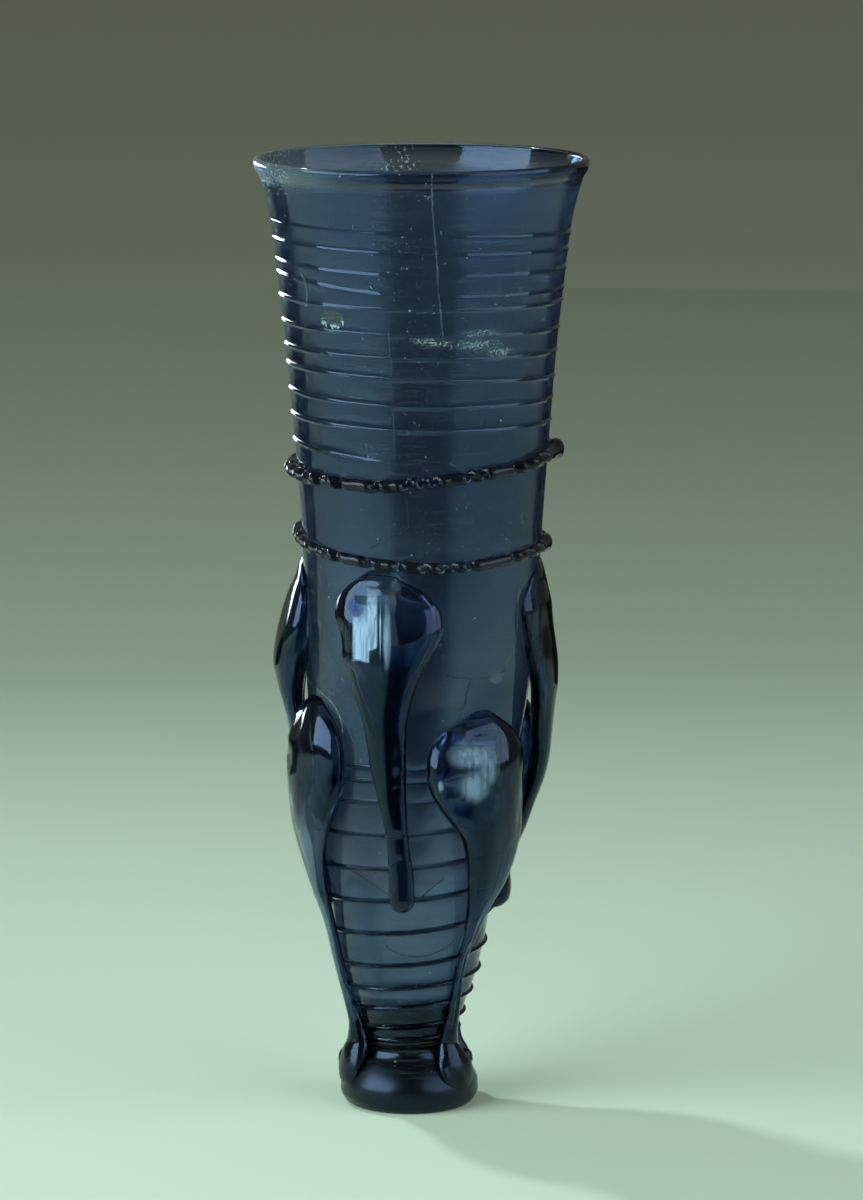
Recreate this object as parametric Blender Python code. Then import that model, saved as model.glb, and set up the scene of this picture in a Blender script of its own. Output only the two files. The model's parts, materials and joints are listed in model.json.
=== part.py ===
"""Claw beaker of blue glass, one fused piece: a hollow cone on a pad foot, with two rows of hollow claws,
two notched coils and a coarse trail wound round the lower half. Metres, +Z up, the middle of the foot's
underside at the origin. Bearings are degrees round the axis, 0 towards -Y and growing towards +X."""

import math

import bmesh
import bpy

# Foot, from the table up
FOOT_CONTACT_RADIUS = 0.0160
FOOT_RADIUS = 0.0183
FOOT_EDGE_HEIGHT = 0.0042
FOOT_SHOULDER_RADIUS = 0.0160
FOOT_SHOULDER_RISE = 0.0064
NECK_RADIUS = 0.0118
NECK_RISE = 0.0054

# Body, stretch by stretch above the neck
CUP_RADIUS = 0.0176
CUP_RISE = 0.0185
TAPER_RADIUS = 0.0239
TAPER_RISE = 0.0335
CLAW_BAND_RADIUS = 0.0291
CLAW_BAND_RISE = 0.0440
COIL_BAND_RADIUS = 0.0313
COIL_BAND_RISE = 0.0420
TRAIL_BAND_RADIUS = 0.0350
TRAIL_BAND_RISE = 0.0465
FLARE_RADIUS = 0.0402
FLARE_RISE = 0.0392
RIM_RADIUS = 0.0436
RIM_RISE = 0.0103
LIP_RADIUS = 0.0010

# How far the axis has wandered, and how high above the neck it has straightened again
LEAN = 0.0033
LEAN_RISE = 0.1500

# Glass thickness and the hollow
RIM_WALL = 0.0013
BASE_WALL = 0.0026
FLOOR_ABOVE_NECK = 0.0060
BOWL_DEPTH = 0.0100

# Claws: the upper ones hang from below the top of the coil band, the lower ones from below the top of the
# claw band, and the lower tails end on the foot's shoulder
UPPER_CLAW_DROP = 0.0100
UPPER_CLAW_LENGTH = 0.0900
UPPER_CLAW_WIDTH = 0.0295
UPPER_CLAW_REACH = 0.0090
LOWER_CLAW_DROP = 0.0030
LOWER_TAIL_OVER_SHOULDER = 0.0016
LOWER_CLAW_WIDTH = 0.0285
LOWER_CLAW_REACH = 0.0096
CLAW_LEAST_DEPTH = 0.0009
CLAW_WALL = 0.0013

# Coils, above and below the top of the coil band, and the trail, above the neck
UPPER_COIL_RISE = 0.0176
UPPER_COIL_TILT = 0.0027
UPPER_COIL_THICKNESS = 0.0034
UPPER_COIL_PROUD = 0.0030
LOWER_COIL_DROP = 0.0030
LOWER_COIL_TILT = 0.0021
LOWER_COIL_THICKNESS = 0.0028
LOWER_COIL_PROUD = 0.0021
COIL_NOTCHES = 14
NOTCH_DEPTH = 0.0005
TRAIL_ABOVE_NECK = 0.0010
TRAIL_RISE = 0.0780
TRAIL_THICKNESS = 0.0018
TRAIL_PROUD = 0.0008

# Fineness
SEGMENTS = 26
CURVE_STEPS = 2
LIP_STEPS = 4
BOWL_STEPS = 3
CLAW_SIDES = 7
COIL_SIDES = 5
TRAIL_SIDES = 3
TRAIL_STEPS = 20
THREAD_OFFSET = 4.1
CREASE_DEGREES = 40
MERGE_DISTANCE = 0.000001

# Each claw: its bearing at the root, at mid tail and at the tip, how far its root sits above its row's, and
# how low its belly hangs, from 0 to 1
UPPER_CLAWS = {
    "front": (-14, -14, -7, 0.0024, 0.3),
    "right": (83, 84, 82, -0.0015, 1.0),
    "back": (177, 175, 178, 0.0, 0.5),
    "left": (-93, -94, -92, -0.0005, 0.0),
}
LOWER_CLAWS = {
    "front_right": (28, 37.5, 59, 0.0, 0.4),
    "back_right": (126, 130, 128, 0.0005, 0.7),
    "back_left": (-146, -149, -147, -0.0005, 0.3),
    "front_left": (-64, -65, -72, 0.0015, 0.5),
}

# A claw, root to tip: share of its length, how far its crest stands off the wall as a share of its reach
# where the belly rides high and where it hangs low, the same for its back (None where it is fused to the
# wall), and its width as a share of the full width
UPPER_FORM = (
    (0.000, -0.06, -0.06, None, 0.45),
    (0.030, 0.26, 0.26, None, 0.82),
    (0.120, 0.60, 0.40, None, 1.00),
    (0.200, 0.84, 0.58, None, 0.90),
    (0.270, 0.98, 0.74, None, 0.75),
    (0.340, 0.92, 0.82, 0.14, 0.62),
    (0.450, 0.74, 0.87, 0.18, 0.43),
    (0.600, 0.66, 0.92, 0.20, 0.31),
    (0.730, 0.54, 0.70, 0.08, 0.27),
    (0.860, 0.36, 0.38, None, 0.24),
    (0.920, 0.40, 0.42, None, 0.26),
    (0.965, 0.60, 0.64, None, 0.28),
    (1.000, 0.25, 0.30, None, 0.18),
)
LOWER_FORM = (
    (0.000, -0.06, -0.06, None, 0.36),
    (0.035, 0.30, 0.24, None, 0.72),
    (0.120, 0.70, 0.52, None, 1.00),
    (0.200, 0.94, 0.84, None, 0.97),
    (0.260, 1.00, 0.96, None, 0.80),
    (0.320, 0.98, 1.00, 0.26, 0.60),
    (0.400, 0.86, 0.96, 0.28, 0.38),
    (0.490, 0.66, 0.76, 0.20, 0.25),
    (0.590, 0.40, 0.46, 0.04, 0.17),
    (0.700, 0.25, 0.26, None, 0.13),
    (0.870, 0.23, 0.24, None, 0.13),
    (0.930, 0.32, 0.32, None, 0.17),
    (0.965, 0.42, 0.42, None, 0.18),
    (1.000, 0.14, 0.14, None, 0.12),
)

# Where a claw is widest, as a share of its depth out from its back
WIDEST_AT = 0.45

# Each coil: the bearing where it lies lowest, and where its ends meet in a blob
UPPER_COIL_BEARINGS = (-55, 88)
LOWER_COIL_BEARINGS = (20, 92)
BLOB_SHARE = 0.60
BLOB_SPREAD = 14

# The wound trail's height at each crossing of the front, as a share of its rise
TRAIL_CROSSINGS = (0.0, 0.03, 0.08, 0.15, 0.225, 0.31, 0.43, 0.545, 0.66, 0.775, 0.88, 0.95, 1.0)

# The hollow of a claw: the share of the claw's length where it stops being open to the vessel, where its
# back has left the wall, and where it ends
HOLLOW_START = 0.030
HOLLOW_OPEN_TO = 0.190
HOLLOW_LEAVES_WALL = 0.260
HOLLOW_END = 0.480
HOLLOW_TIP_SHARE = 0.35

# How deep fused glass reaches into the wall, and how far the hollow's air runs past the inside
FUSE_SHARE = 0.55
HOLLOW_OVERRUN = 0.0010

# Colour and gloss of the glass
GLASS_COLOUR = (0.012, 0.028, 0.085, 1.0)
GLASS_ROUGHNESS = 0.08


def curve_through(points, steps):
    """A smooth run of points through the given (radius, height) points."""

    def weigh(a, b, c, d, t):
        bend = (2 * a - 5 * b + 4 * c - d) * t**2
        twist = (3 * b - a - 3 * c + d) * t**3
        return 0.5 * (2 * b + (c - a) * t + bend + twist)

    ends = [points[0], *points, points[-1]]
    run = []
    for corners in zip(ends, ends[1:], ends[2:], ends[3:]):
        for step in range(steps):
            run.append(tuple(weigh(*values, step / steps) for values in zip(*corners)))
    run.append(points[-1])
    return run


def between(rows, x):
    """The values of a table at x, in proportion between its rows."""
    if x <= rows[0][0]:
        return rows[0][1:]
    for low, high in zip(rows, rows[1:]):
        if x <= high[0]:
            share = (x - low[0]) / (high[0] - low[0])
            return tuple(a + (b - a) * share for a, b in zip(low[1:], high[1:]))
    return rows[-1][1:]


def outline():
    """The outer outline from the foot's contact edge to the underside of the lip, as (radius, height)."""
    shoulder = FOOT_EDGE_HEIGHT + FOOT_SHOULDER_RISE
    neck = shoulder + NECK_RISE
    points = [
        (FOOT_CONTACT_RADIUS, 0.0),
        (FOOT_RADIUS, FOOT_EDGE_HEIGHT),
        (FOOT_SHOULDER_RADIUS, shoulder),
        (NECK_RADIUS, neck),
    ]
    height = neck
    for radius, rise in (
        (CUP_RADIUS, CUP_RISE),
        (TAPER_RADIUS, TAPER_RISE),
        (CLAW_BAND_RADIUS, CLAW_BAND_RISE),
        (COIL_BAND_RADIUS, COIL_BAND_RISE),
        (TRAIL_BAND_RADIUS, TRAIL_BAND_RISE),
        (FLARE_RADIUS, FLARE_RISE),
        (RIM_RADIUS, RIM_RISE),
    ):
        height += rise
        points.append((radius, height))
    return curve_through(points, CURVE_STEPS)


OUTLINE = outline()
OUTLINE_BY_HEIGHT = [(height, radius) for radius, height in OUTLINE]
SHOULDER_HEIGHT = FOOT_EDGE_HEIGHT + FOOT_SHOULDER_RISE
NECK_HEIGHT = SHOULDER_HEIGHT + NECK_RISE
CLAW_BAND_TOP = NECK_HEIGHT + CUP_RISE + TAPER_RISE + CLAW_BAND_RISE
COIL_BAND_TOP = CLAW_BAND_TOP + COIL_BAND_RISE
LIP_HEIGHT = OUTLINE[-1][1]
FLOOR_HEIGHT = NECK_HEIGHT + FLOOR_ABOVE_NECK
UPPER_CLAW_TOP = COIL_BAND_TOP - UPPER_CLAW_DROP
LOWER_CLAW_TOP = CLAW_BAND_TOP - LOWER_CLAW_DROP
LOWER_CLAW_LENGTH = LOWER_CLAW_TOP - SHOULDER_HEIGHT + LOWER_TAIL_OVER_SHOULDER


def outer_radius(height):
    return between(OUTLINE_BY_HEIGHT, height)[0]


def wall(height):
    """Glass thickness: thin at the rim, thicker towards the base."""
    down = min(1.0, max(0.0, (LIP_HEIGHT - height) / (LIP_HEIGHT - FLOOR_HEIGHT)))
    return RIM_WALL + (BASE_WALL - RIM_WALL) * down**2


def sideways(height):
    """How far the hand-made axis has wandered towards +X at a height."""
    share = min(1.0, max(0.0, (height - NECK_HEIGHT) / LEAN_RISE))
    return LEAN * share * share * (3 - 2 * share)


def place(radius, bearing, height):
    turn = math.radians(bearing)
    return (
        radius * math.sin(turn) + sideways(height),
        -radius * math.cos(turn),
        height,
    )


def glass():
    material = bpy.data.materials.new("blue_glass")
    material.use_nodes = True
    shader = material.node_tree.nodes["Principled BSDF"]
    shader.inputs["Base Color"].default_value = GLASS_COLOUR
    shader.inputs["Roughness"].default_value = GLASS_ROUGHNESS
    shader.inputs["Metallic"].default_value = 0.0
    material.diffuse_color = GLASS_COLOUR
    return material


def add_object(name, mesh_maker, material):
    """A new object whose mesh faces outwards, smooth but for its creases."""
    mesh_maker.normal_update()
    bmesh.ops.recalc_face_normals(mesh_maker, faces=mesh_maker.faces)
    mesh = bpy.data.meshes.new(name)
    mesh_maker.to_mesh(mesh)
    mesh_maker.free()
    mesh.materials.append(material)
    mesh.shade_smooth()
    mesh.set_sharp_from_angle(angle=math.radians(CREASE_DEGREES))
    piece = bpy.data.objects.new(name, mesh)
    bpy.context.collection.objects.link(piece)
    return piece


def guide(piece):
    """Marks an object as a tool of another one."""
    piece.hide_render = True
    piece.display_type = "WIRE"
    return piece


def loft(rings, closed=False, split=False):
    """A closed skin over rings of points: capped at both ends, or joined end to end, in flat triangles
    where its faces would be too twisted to cut."""
    skin = bmesh.new()
    loops = []
    for ring in rings:
        corners = [skin.verts.new(point) for point in ring]
        loops.append([skin.edges.new(pair) for pair in zip(corners, corners[1:] + corners[:1])])
    pairs = list(zip(loops, loops[1:]))
    if closed:
        pairs.append((loops[-1], loops[0]))
    else:
        bmesh.ops.edgeloop_fill(skin, edges=loops[0])
        bmesh.ops.edgeloop_fill(skin, edges=loops[-1])
    for one, other in pairs:
        bmesh.ops.bridge_loops(skin, edges=one + other)
    if split:
        bmesh.ops.triangulate(skin, faces=skin.faces)
    return skin


def turned(profile):
    """A profile of (radius, height), from axis to axis, turned once round."""
    lathe = bmesh.new()
    corners = [lathe.verts.new((radius, 0.0, height)) for radius, height in profile]
    edges = [lathe.edges.new(pair) for pair in zip(corners, corners[1:])]
    bmesh.ops.spin(
        lathe,
        geom=corners + edges,
        cent=(0, 0, 0),
        axis=(0, 0, 1),
        angle=math.tau,
        steps=SEGMENTS,
        use_merge=True,
    )
    bmesh.ops.remove_doubles(lathe, verts=lathe.verts, dist=MERGE_DISTANCE)
    for corner in lathe.verts:
        corner.co.x += sideways(corner.co.z)
    return lathe


def vessel_profile():
    """From the underside's middle, up the outside, over the lip and down the inside to the floor."""
    outside = [(0.0, 0.0), *OUTLINE]
    lip_middle = RIM_RADIUS - LIP_RADIUS
    lip = [
        (
            lip_middle + LIP_RADIUS * math.cos(math.pi * step / LIP_STEPS),
            LIP_HEIGHT + LIP_RADIUS * math.sin(math.pi * step / LIP_STEPS),
        )
        for step in range(1, LIP_STEPS)
    ]
    bowl_top = FLOOR_HEIGHT + BOWL_DEPTH
    inside = [
        (radius - wall(height), height)
        for radius, height in reversed(OUTLINE)
        if bowl_top < height < LIP_HEIGHT - LIP_RADIUS
    ]
    bowl_radius = outer_radius(bowl_top) - wall(bowl_top)
    bowl = [
        (
            bowl_radius * math.cos(math.pi / 2 * step / BOWL_STEPS),
            bowl_top - BOWL_DEPTH * math.sin(math.pi / 2 * step / BOWL_STEPS),
        )
        for step in range(BOWL_STEPS)
    ]
    inner_lip = (lip_middle - LIP_RADIUS, LIP_HEIGHT)
    return [*outside, *lip, inner_lip, *inside, *bowl, (0.0, FLOOR_HEIGHT)]


def claw_station(claw, sizes, share, row):
    """Bearing, height, and the radii of crest and back and the half width at one share of a claw."""
    root, middle, tip, raised, sag = claw
    top, length, width, reach = sizes
    bearing = between(((0.0, root), (0.5, middle), (1.0, tip)), share)[0]
    height = top + raised - length * share
    surface = outer_radius(height)
    fused = surface - FUSE_SHARE * wall(height)
    high, low, back, breadth = row
    crest_radius = max(surface + (high + (low - high) * sag) * reach, fused + CLAW_LEAST_DEPTH)
    back_radius = fused if back is None else surface + back * reach
    return bearing, height, crest_radius, back_radius, breadth * width / 2


def level_ring(bearing, height, crest, back, half_width):
    """A level ring round a claw."""
    widest = back + (crest - back) * WIDEST_AT
    ring = []
    for side in range(CLAW_SIDES):
        turn = math.tau * side / CLAW_SIDES
        depth = (crest - widest) if math.cos(turn) > 0 else (widest - back)
        swing = math.degrees(half_width * math.sin(turn) / widest)
        ring.append(place(widest + depth * math.cos(turn), bearing + swing, height))
    return ring


def claw_solid(claw, sizes, form):
    rings = [level_ring(*claw_station(claw, sizes, share, row)) for share, *row in form]
    return loft(rings, split=True)


def claw_hollow(claw, sizes, form):
    """The air inside a claw, which opens into the vessel behind the root."""
    rows = [(share, high, low, breadth) for share, high, low, back, breadth in form]
    backs = [(share, back) for share, high, low, back, breadth in form if back is not None]
    shares = [HOLLOW_START, (HOLLOW_START + HOLLOW_OPEN_TO) / 2, HOLLOW_OPEN_TO, HOLLOW_LEAVES_WALL]
    shares += [share for share, back in backs if HOLLOW_LEAVES_WALL < share < HOLLOW_END]
    shares.append(HOLLOW_END)
    rings = []
    for share in shares:
        high, low, breadth = between(rows, share)
        row = (high, low, between(backs, share)[0], breadth)
        bearing, height, crest, back, half_width = claw_station(claw, sizes, share, row)
        crest -= CLAW_WALL
        half_width -= CLAW_WALL
        if share <= HOLLOW_OPEN_TO:
            back = outer_radius(height) - wall(height) - HOLLOW_OVERRUN
        elif share <= HOLLOW_LEAVES_WALL:
            back = outer_radius(height) + CLAW_WALL / 2
        else:
            back += CLAW_WALL
        if share == HOLLOW_END:
            middle = (crest + back) / 2
            crest = middle + (crest - middle) * HOLLOW_TIP_SHARE
            back = middle + (back - middle) * HOLLOW_TIP_SHARE
            half_width *= HOLLOW_TIP_SHARE
        rings.append(level_ring(bearing, height, crest, back, half_width))
    return loft(rings, split=True)


def thread_ring(bearing, height, thickness, proud, sides):
    """An upright ring of a thread laid on the wall and standing proud of it."""
    half = thickness / 2
    middle = outer_radius(height) + proud - half
    return [
        place(
            middle + half * math.cos(math.tau * side / sides),
            bearing,
            height + half * math.sin(math.tau * side / sides),
        )
        for side in range(sides)
    ]


def coil(height, tilt, thickness, proud, bearings):
    """A heavy coil once round, tilted, pinched at even steps, thickest where its ends meet."""
    low_bearing, blob_bearing = bearings
    rings = []
    count = 2 * COIL_NOTCHES
    for step in range(count):
        bearing = THREAD_OFFSET + 360 * step / count
        level = height - tilt * math.cos(math.radians(bearing - low_bearing))
        from_blob = (bearing - blob_bearing + 180) % 360 - 180
        swell = 1 + BLOB_SHARE * math.exp(-((from_blob / BLOB_SPREAD) ** 2))
        pinch = 2 * NOTCH_DEPTH * (step % 2)
        thick = thickness * swell - pinch
        rings.append(thread_ring(bearing, level, thick, proud * swell - pinch, COIL_SIDES))
    return loft(rings, closed=True)


def trail():
    """The coarser trail, rising towards +X across the front."""
    crossings = list(enumerate(TRAIL_CROSSINGS))
    count = (len(TRAIL_CROSSINGS) - 1) * TRAIL_STEPS
    rings = []
    for step in range(count + 1):
        height = NECK_HEIGHT + TRAIL_ABOVE_NECK + TRAIL_RISE * between(crossings, step / TRAIL_STEPS)[0]
        bearing = THREAD_OFFSET + 360 * step / TRAIL_STEPS
        rings.append(thread_ring(bearing, height, TRAIL_THICKNESS, TRAIL_PROUD, TRAIL_SIDES))
    return loft(rings)


def combine(body, pieces, operation):
    """A Boolean of the body with each piece in turn."""
    for piece in pieces:
        step = body.modifiers.new(f"{operation.lower()}_{piece.name}", "BOOLEAN")
        step.operation = operation
        step.solver = "EXACT"
        step.object = guide(piece)


def build():
    for old in list(bpy.data.objects):
        bpy.data.objects.remove(old, do_unlink=True)
    material = glass()
    upper_sizes = (UPPER_CLAW_TOP, UPPER_CLAW_LENGTH, UPPER_CLAW_WIDTH, UPPER_CLAW_REACH)
    lower_sizes = (LOWER_CLAW_TOP, LOWER_CLAW_LENGTH, LOWER_CLAW_WIDTH, LOWER_CLAW_REACH)
    upper_coil = coil(
        COIL_BAND_TOP + UPPER_COIL_RISE,
        UPPER_COIL_TILT,
        UPPER_COIL_THICKNESS,
        UPPER_COIL_PROUD,
        UPPER_COIL_BEARINGS,
    )
    lower_coil = coil(
        COIL_BAND_TOP - LOWER_COIL_DROP,
        LOWER_COIL_TILT,
        LOWER_COIL_THICKNESS,
        LOWER_COIL_PROUD,
        LOWER_COIL_BEARINGS,
    )
    body = add_object("claw_beaker", turned(vessel_profile()), material)
    added = [
        add_object("upper_coil", upper_coil, material),
        add_object("lower_coil", lower_coil, material),
        add_object("trail", trail(), material),
    ]
    hollows = []
    for row, claws, sizes, form in (
        ("upper", UPPER_CLAWS, upper_sizes, UPPER_FORM),
        ("lower", LOWER_CLAWS, lower_sizes, LOWER_FORM),
    ):
        for side, claw in claws.items():
            added.append(add_object(f"{row}_claw_{side}", claw_solid(claw, sizes, form), material))
            hollows.append(add_object(f"{row}_hollow_{side}", claw_hollow(claw, sizes, form), material))
    combine(body, added, "UNION")
    combine(body, hollows, "DIFFERENCE")


build()
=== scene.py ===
# %% [markdown]
# # A claw beaker of blue glass
# A claw beaker is a tall drinking glass of the early Middle Ages. The blower made a cone on a small pad
# foot, wound threads of glass round it, and then set blobs of hot glass on the wall, blew each one out into
# a hollow bulb and drew it down into a tail. This lesson builds the glass as one closed skin with walls of
# real thickness, because the colour of glass comes from how far light travels inside it.
#
# The imported model is loaded first. It gives the frame that every piece is placed in.

# %% Load the frame
import math
from bisect import bisect_right

import bmesh
import bpy
from mathutils import Matrix, Vector
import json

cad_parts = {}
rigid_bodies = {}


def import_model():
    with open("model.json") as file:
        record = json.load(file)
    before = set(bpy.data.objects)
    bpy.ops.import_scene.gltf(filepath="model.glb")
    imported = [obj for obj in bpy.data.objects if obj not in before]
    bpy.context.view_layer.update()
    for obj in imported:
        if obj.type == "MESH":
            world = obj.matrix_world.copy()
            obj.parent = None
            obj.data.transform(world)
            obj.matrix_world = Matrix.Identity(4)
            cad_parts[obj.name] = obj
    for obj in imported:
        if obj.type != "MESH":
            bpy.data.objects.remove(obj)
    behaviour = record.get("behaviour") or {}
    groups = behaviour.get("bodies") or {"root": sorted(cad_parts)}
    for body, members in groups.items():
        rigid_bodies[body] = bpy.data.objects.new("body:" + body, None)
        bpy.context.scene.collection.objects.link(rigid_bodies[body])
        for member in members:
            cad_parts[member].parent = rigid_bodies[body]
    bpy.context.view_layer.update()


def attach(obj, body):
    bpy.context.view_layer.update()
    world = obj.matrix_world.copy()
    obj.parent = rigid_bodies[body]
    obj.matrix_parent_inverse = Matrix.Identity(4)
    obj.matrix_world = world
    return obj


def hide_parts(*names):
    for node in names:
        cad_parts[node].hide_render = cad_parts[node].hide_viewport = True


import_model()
NODE = "claw_beaker"

# %% [markdown]
# ## The camera
# The photograph looks slightly down on the beaker from well back, so its sides stay nearly parallel. A long
# lens on a camera about 1.4 metres away gives the same view. The picture is taken to be 863 by 1200 pixels,
# and its long side is the sensor's width.

# %% Camera
MM = 0.001
IMAGE_HEIGHT = 1200
FOCAL_PIXELS = 5458
SENSOR = 36.0
CAMERA_PLACE = (5.9, -1410.0, 378.0)
CAMERA_PITCH = 9.79

camera_data = bpy.data.cameras.new("camera")
camera_data.sensor_width = SENSOR
camera_data.lens = FOCAL_PIXELS / IMAGE_HEIGHT * SENSOR
camera_data.clip_start = 0.1
camera = bpy.data.objects.new("camera", camera_data)
camera.location = [MM * value for value in CAMERA_PLACE]
camera.rotation_euler = (math.radians(90 - CAMERA_PITCH), 0, 0)
bpy.context.collection.objects.link(camera)
bpy.context.scene.camera = camera
print("lens, mm:", round(camera_data.lens, 1))

# %% [markdown]
# ## Smooth tables
# The beaker is hand made, so its outline and its claws follow no simple formula. Each is written as a short
# table of measures in millimetres, and a curve is drawn through the rows. The curve below is the kind that
# never swings past its rows, so a wall stays where the table says.

# %% A smooth curve through a table


def held(value):
    """A value kept between 0 and 1."""
    return min(max(value, 0.0), 1.0)


class Curve:
    """Smooth curves through the columns of a table against its first column."""

    def __init__(self, rows):
        rows = sorted(rows)
        self.stops = [row[0] for row in rows]
        widths = [b - a for a, b in zip(self.stops, self.stops[1:])]
        self.columns = []
        for values in list(zip(*rows))[1:]:
            rises = [(b - a) / width for a, b, width in zip(values, values[1:], widths)]
            slopes = [0.0 if a * b <= 0 else 2 * a * b / (a + b) for a, b in zip(rises, rises[1:])]
            self.columns.append((values, [rises[0], *slopes, rises[-1]]))

    def __call__(self, stop):
        """The value at a stop, or a tuple of them where the table has several columns."""
        k = min(max(bisect_right(self.stops, stop) - 1, 0), len(self.stops) - 2)
        width = self.stops[k + 1] - self.stops[k]
        t = held((stop - self.stops[k]) / width)
        found = []
        for values, slopes in self.columns:
            rise = values[k + 1] - values[k]
            start, end = slopes[k] * width, slopes[k + 1] * width
            bend = 3 * rise - 2 * start - end
            twist = start + end - 2 * rise
            found.append(values[k] + start * t + bend * t**2 + twist * t**3)
        return found[0] if len(found) == 1 else tuple(found)


# %% [markdown]
# ## The vessel's outline
# The wall is thin, as blown glass is: thinnest round the middle, where the claws were blown out of it, and
# thick only in the bottom. The whole axis leans a little, and the mouth is a hair out of round. `settle`
# gives every piece that lean and unevenness at the end, so the pieces can be modelled on a straight axis
# and still meet.

# %% Outline and unevenness of the wall
OUTER = Curve(
    (
        (11, 15.8), (13, 13.8), (15.2, 11.95), (17, 11.9), (19.5, 12.6), (24, 13.9), (29, 15.5),
        (34.5, 17.5), (41.6, 19.2), (51.7, 21), (68, 23.9), (90, 26.9), (112, 29.1), (133, 30.5),
        (154, 31.3), (177, 33), (200.5, 35), (220, 37.2), (234, 39), (239.6, 40.15), (243.2, 41.15),
        (245.2, 41.7), (246.3, 42.05), (247.3, 42.75), (248.6, 43.4), (250, 43.57),
    )
)
RIM_RADIUS = 43.57
LIP_HEIGHT = 250.0
LIP_RADIUS = 1.0
WALL = Curve(
    ((22, 2.6), (30, 1.5), (45, 1.05), (80, 1), (105, 0.85), (140, 0.9), (162, 1.3), (235, 1.35), (250, 1.3))
)
FLOOR_HEIGHT = 22.0
BOWL_TOP = 33.0
LEAN = 3.3
LEAN_FROM = 16.0
LEAN_RISE = 150.0
OUT_OF_ROUND = 0.992
WAVERS = ((0.13, 2, 41.0, 0.6), (0.10, 3, -29.0, 2.1), (0.05, 5, 17.0, 4.0))
CALM_FOOT, CALM_RIM = (20, 30), (249, 20)


def sideways(height):
    """How far the axis has wandered at a height."""
    share = held((height - LEAN_FROM) / LEAN_RISE)
    return LEAN * share * share * (3 - 2 * share)


def waver(turn, height):
    """How far the wall stands out of true, least at the foot and the rim."""
    from_foot = max(0.0, height - CALM_FOOT[0]) / CALM_FOOT[1]
    from_rim = max(0.0, CALM_RIM[0] - height) / CALM_RIM[1]
    waves = (size * math.sin(lobes * turn + height / pitch + phase) for size, lobes, pitch, phase in WAVERS)
    return min(1.0, from_foot, from_rim) * sum(waves)


def settle(piece):
    """Moves a piece from the straight axis, in millimetres, to the beaker's own, in metres."""
    for corner in piece.verts:
        x, y, height = corner.co
        radius = math.hypot(x, y)
        if radius > 1:
            grown = 1 + waver(math.atan2(x, -y), height) / radius
            x, y = x * grown, y * grown
        corner.co = Vector((x + sideways(height), y * OUT_OF_ROUND, height)) * MM


def at(radius, bearing, height):
    """A point on the straight axis. Bearing 0 faces the camera and grows to its right."""
    turn = math.radians(bearing)
    return Vector((radius * math.sin(turn), -radius * math.cos(turn), height))


print("wall at rim, waist and floor, mm:", [round(WALL(z), 2) for z in (250, 150, 22)])

# %% [markdown]
# ## The wound threads
# Two trails are wound on the cone: a fine one round the upper half and a coarser one round the lower half.
# Hot threads sink into a hot wall, so they are ridges of the wall and not strings laid on it. A spin that
# also climbs makes a strip that winds up like the thread of a screw. Its rows then follow the thread, so a
# ridge needs only a few of them. Rows that would pass the end of a band are pulled back onto it and merged,
# and the bands then share their edge rings.

# %% A band of wall with a thread wound on it
SEGMENTS = 144
FULL_TURN = 360.0
MERGE = 0.01
RIDGE_ROWS = ((-1.7, 0.0), (-1.1, 0.13), (-0.55, 0.68), (0.0, 1.0), (0.55, 0.68), (1.1, 0.13), (1.7, 0.0))
RIDGE_REACH = 1.7
GAP_SHARE = 0.46
ROWS = len(RIDGE_ROWS) + 1
SPIN_START = 0.25
LEFT_BEARING, RIGHT_BEARING = -75.0, 80.0


def winding(crossings):
    """A thread's height against its turns, from its heights at the left, the front and the right."""
    rows = []
    for turn, heights in enumerate(crossings):
        for bearing, height in zip((LEFT_BEARING, 0.0, RIGHT_BEARING), heights):
            rows.append((turn + bearing / FULL_TURN, height))
    return Curve(rows)


def bearing_of(point):
    """The bearing of a point, from -180 to 180."""
    return math.degrees(math.atan2(point.x, -point.y))


def spun(skin, geometry, steps, angle=math.tau, **more):
    """Spins corners and edges round the upright axis into faces."""
    bmesh.ops.spin(skin, geom=geometry, cent=(0, 0, 0), axis=(0, 0, 1), angle=angle, steps=steps, **more)


def sleeve(rows, turns=1, climb=0.0):
    """A sleeve of the given rows round the axis, one unit high, which climbs with every turn."""
    skin = bmesh.new()
    corners = [skin.verts.new((1, 0, row / rows)) for row in range(rows + 1)]
    edges = [skin.edges.new(pair) for pair in zip(corners, corners[1:])]
    spun(skin, corners + edges, SEGMENTS, dvec=(0, 0, climb / SEGMENTS))
    once = [*skin.verts, *skin.edges, *skin.faces]
    for turn in range(1, turns):
        again = bmesh.ops.duplicate(skin, geom=once)["geom"]
        copied = [item for item in again if isinstance(item, bmesh.types.BMVert)]
        bmesh.ops.translate(skin, verts=copied, vec=(0, 0, climb * turn))
    bmesh.ops.remove_doubles(skin, verts=skin.verts, dist=MERGE)
    return skin


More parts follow.
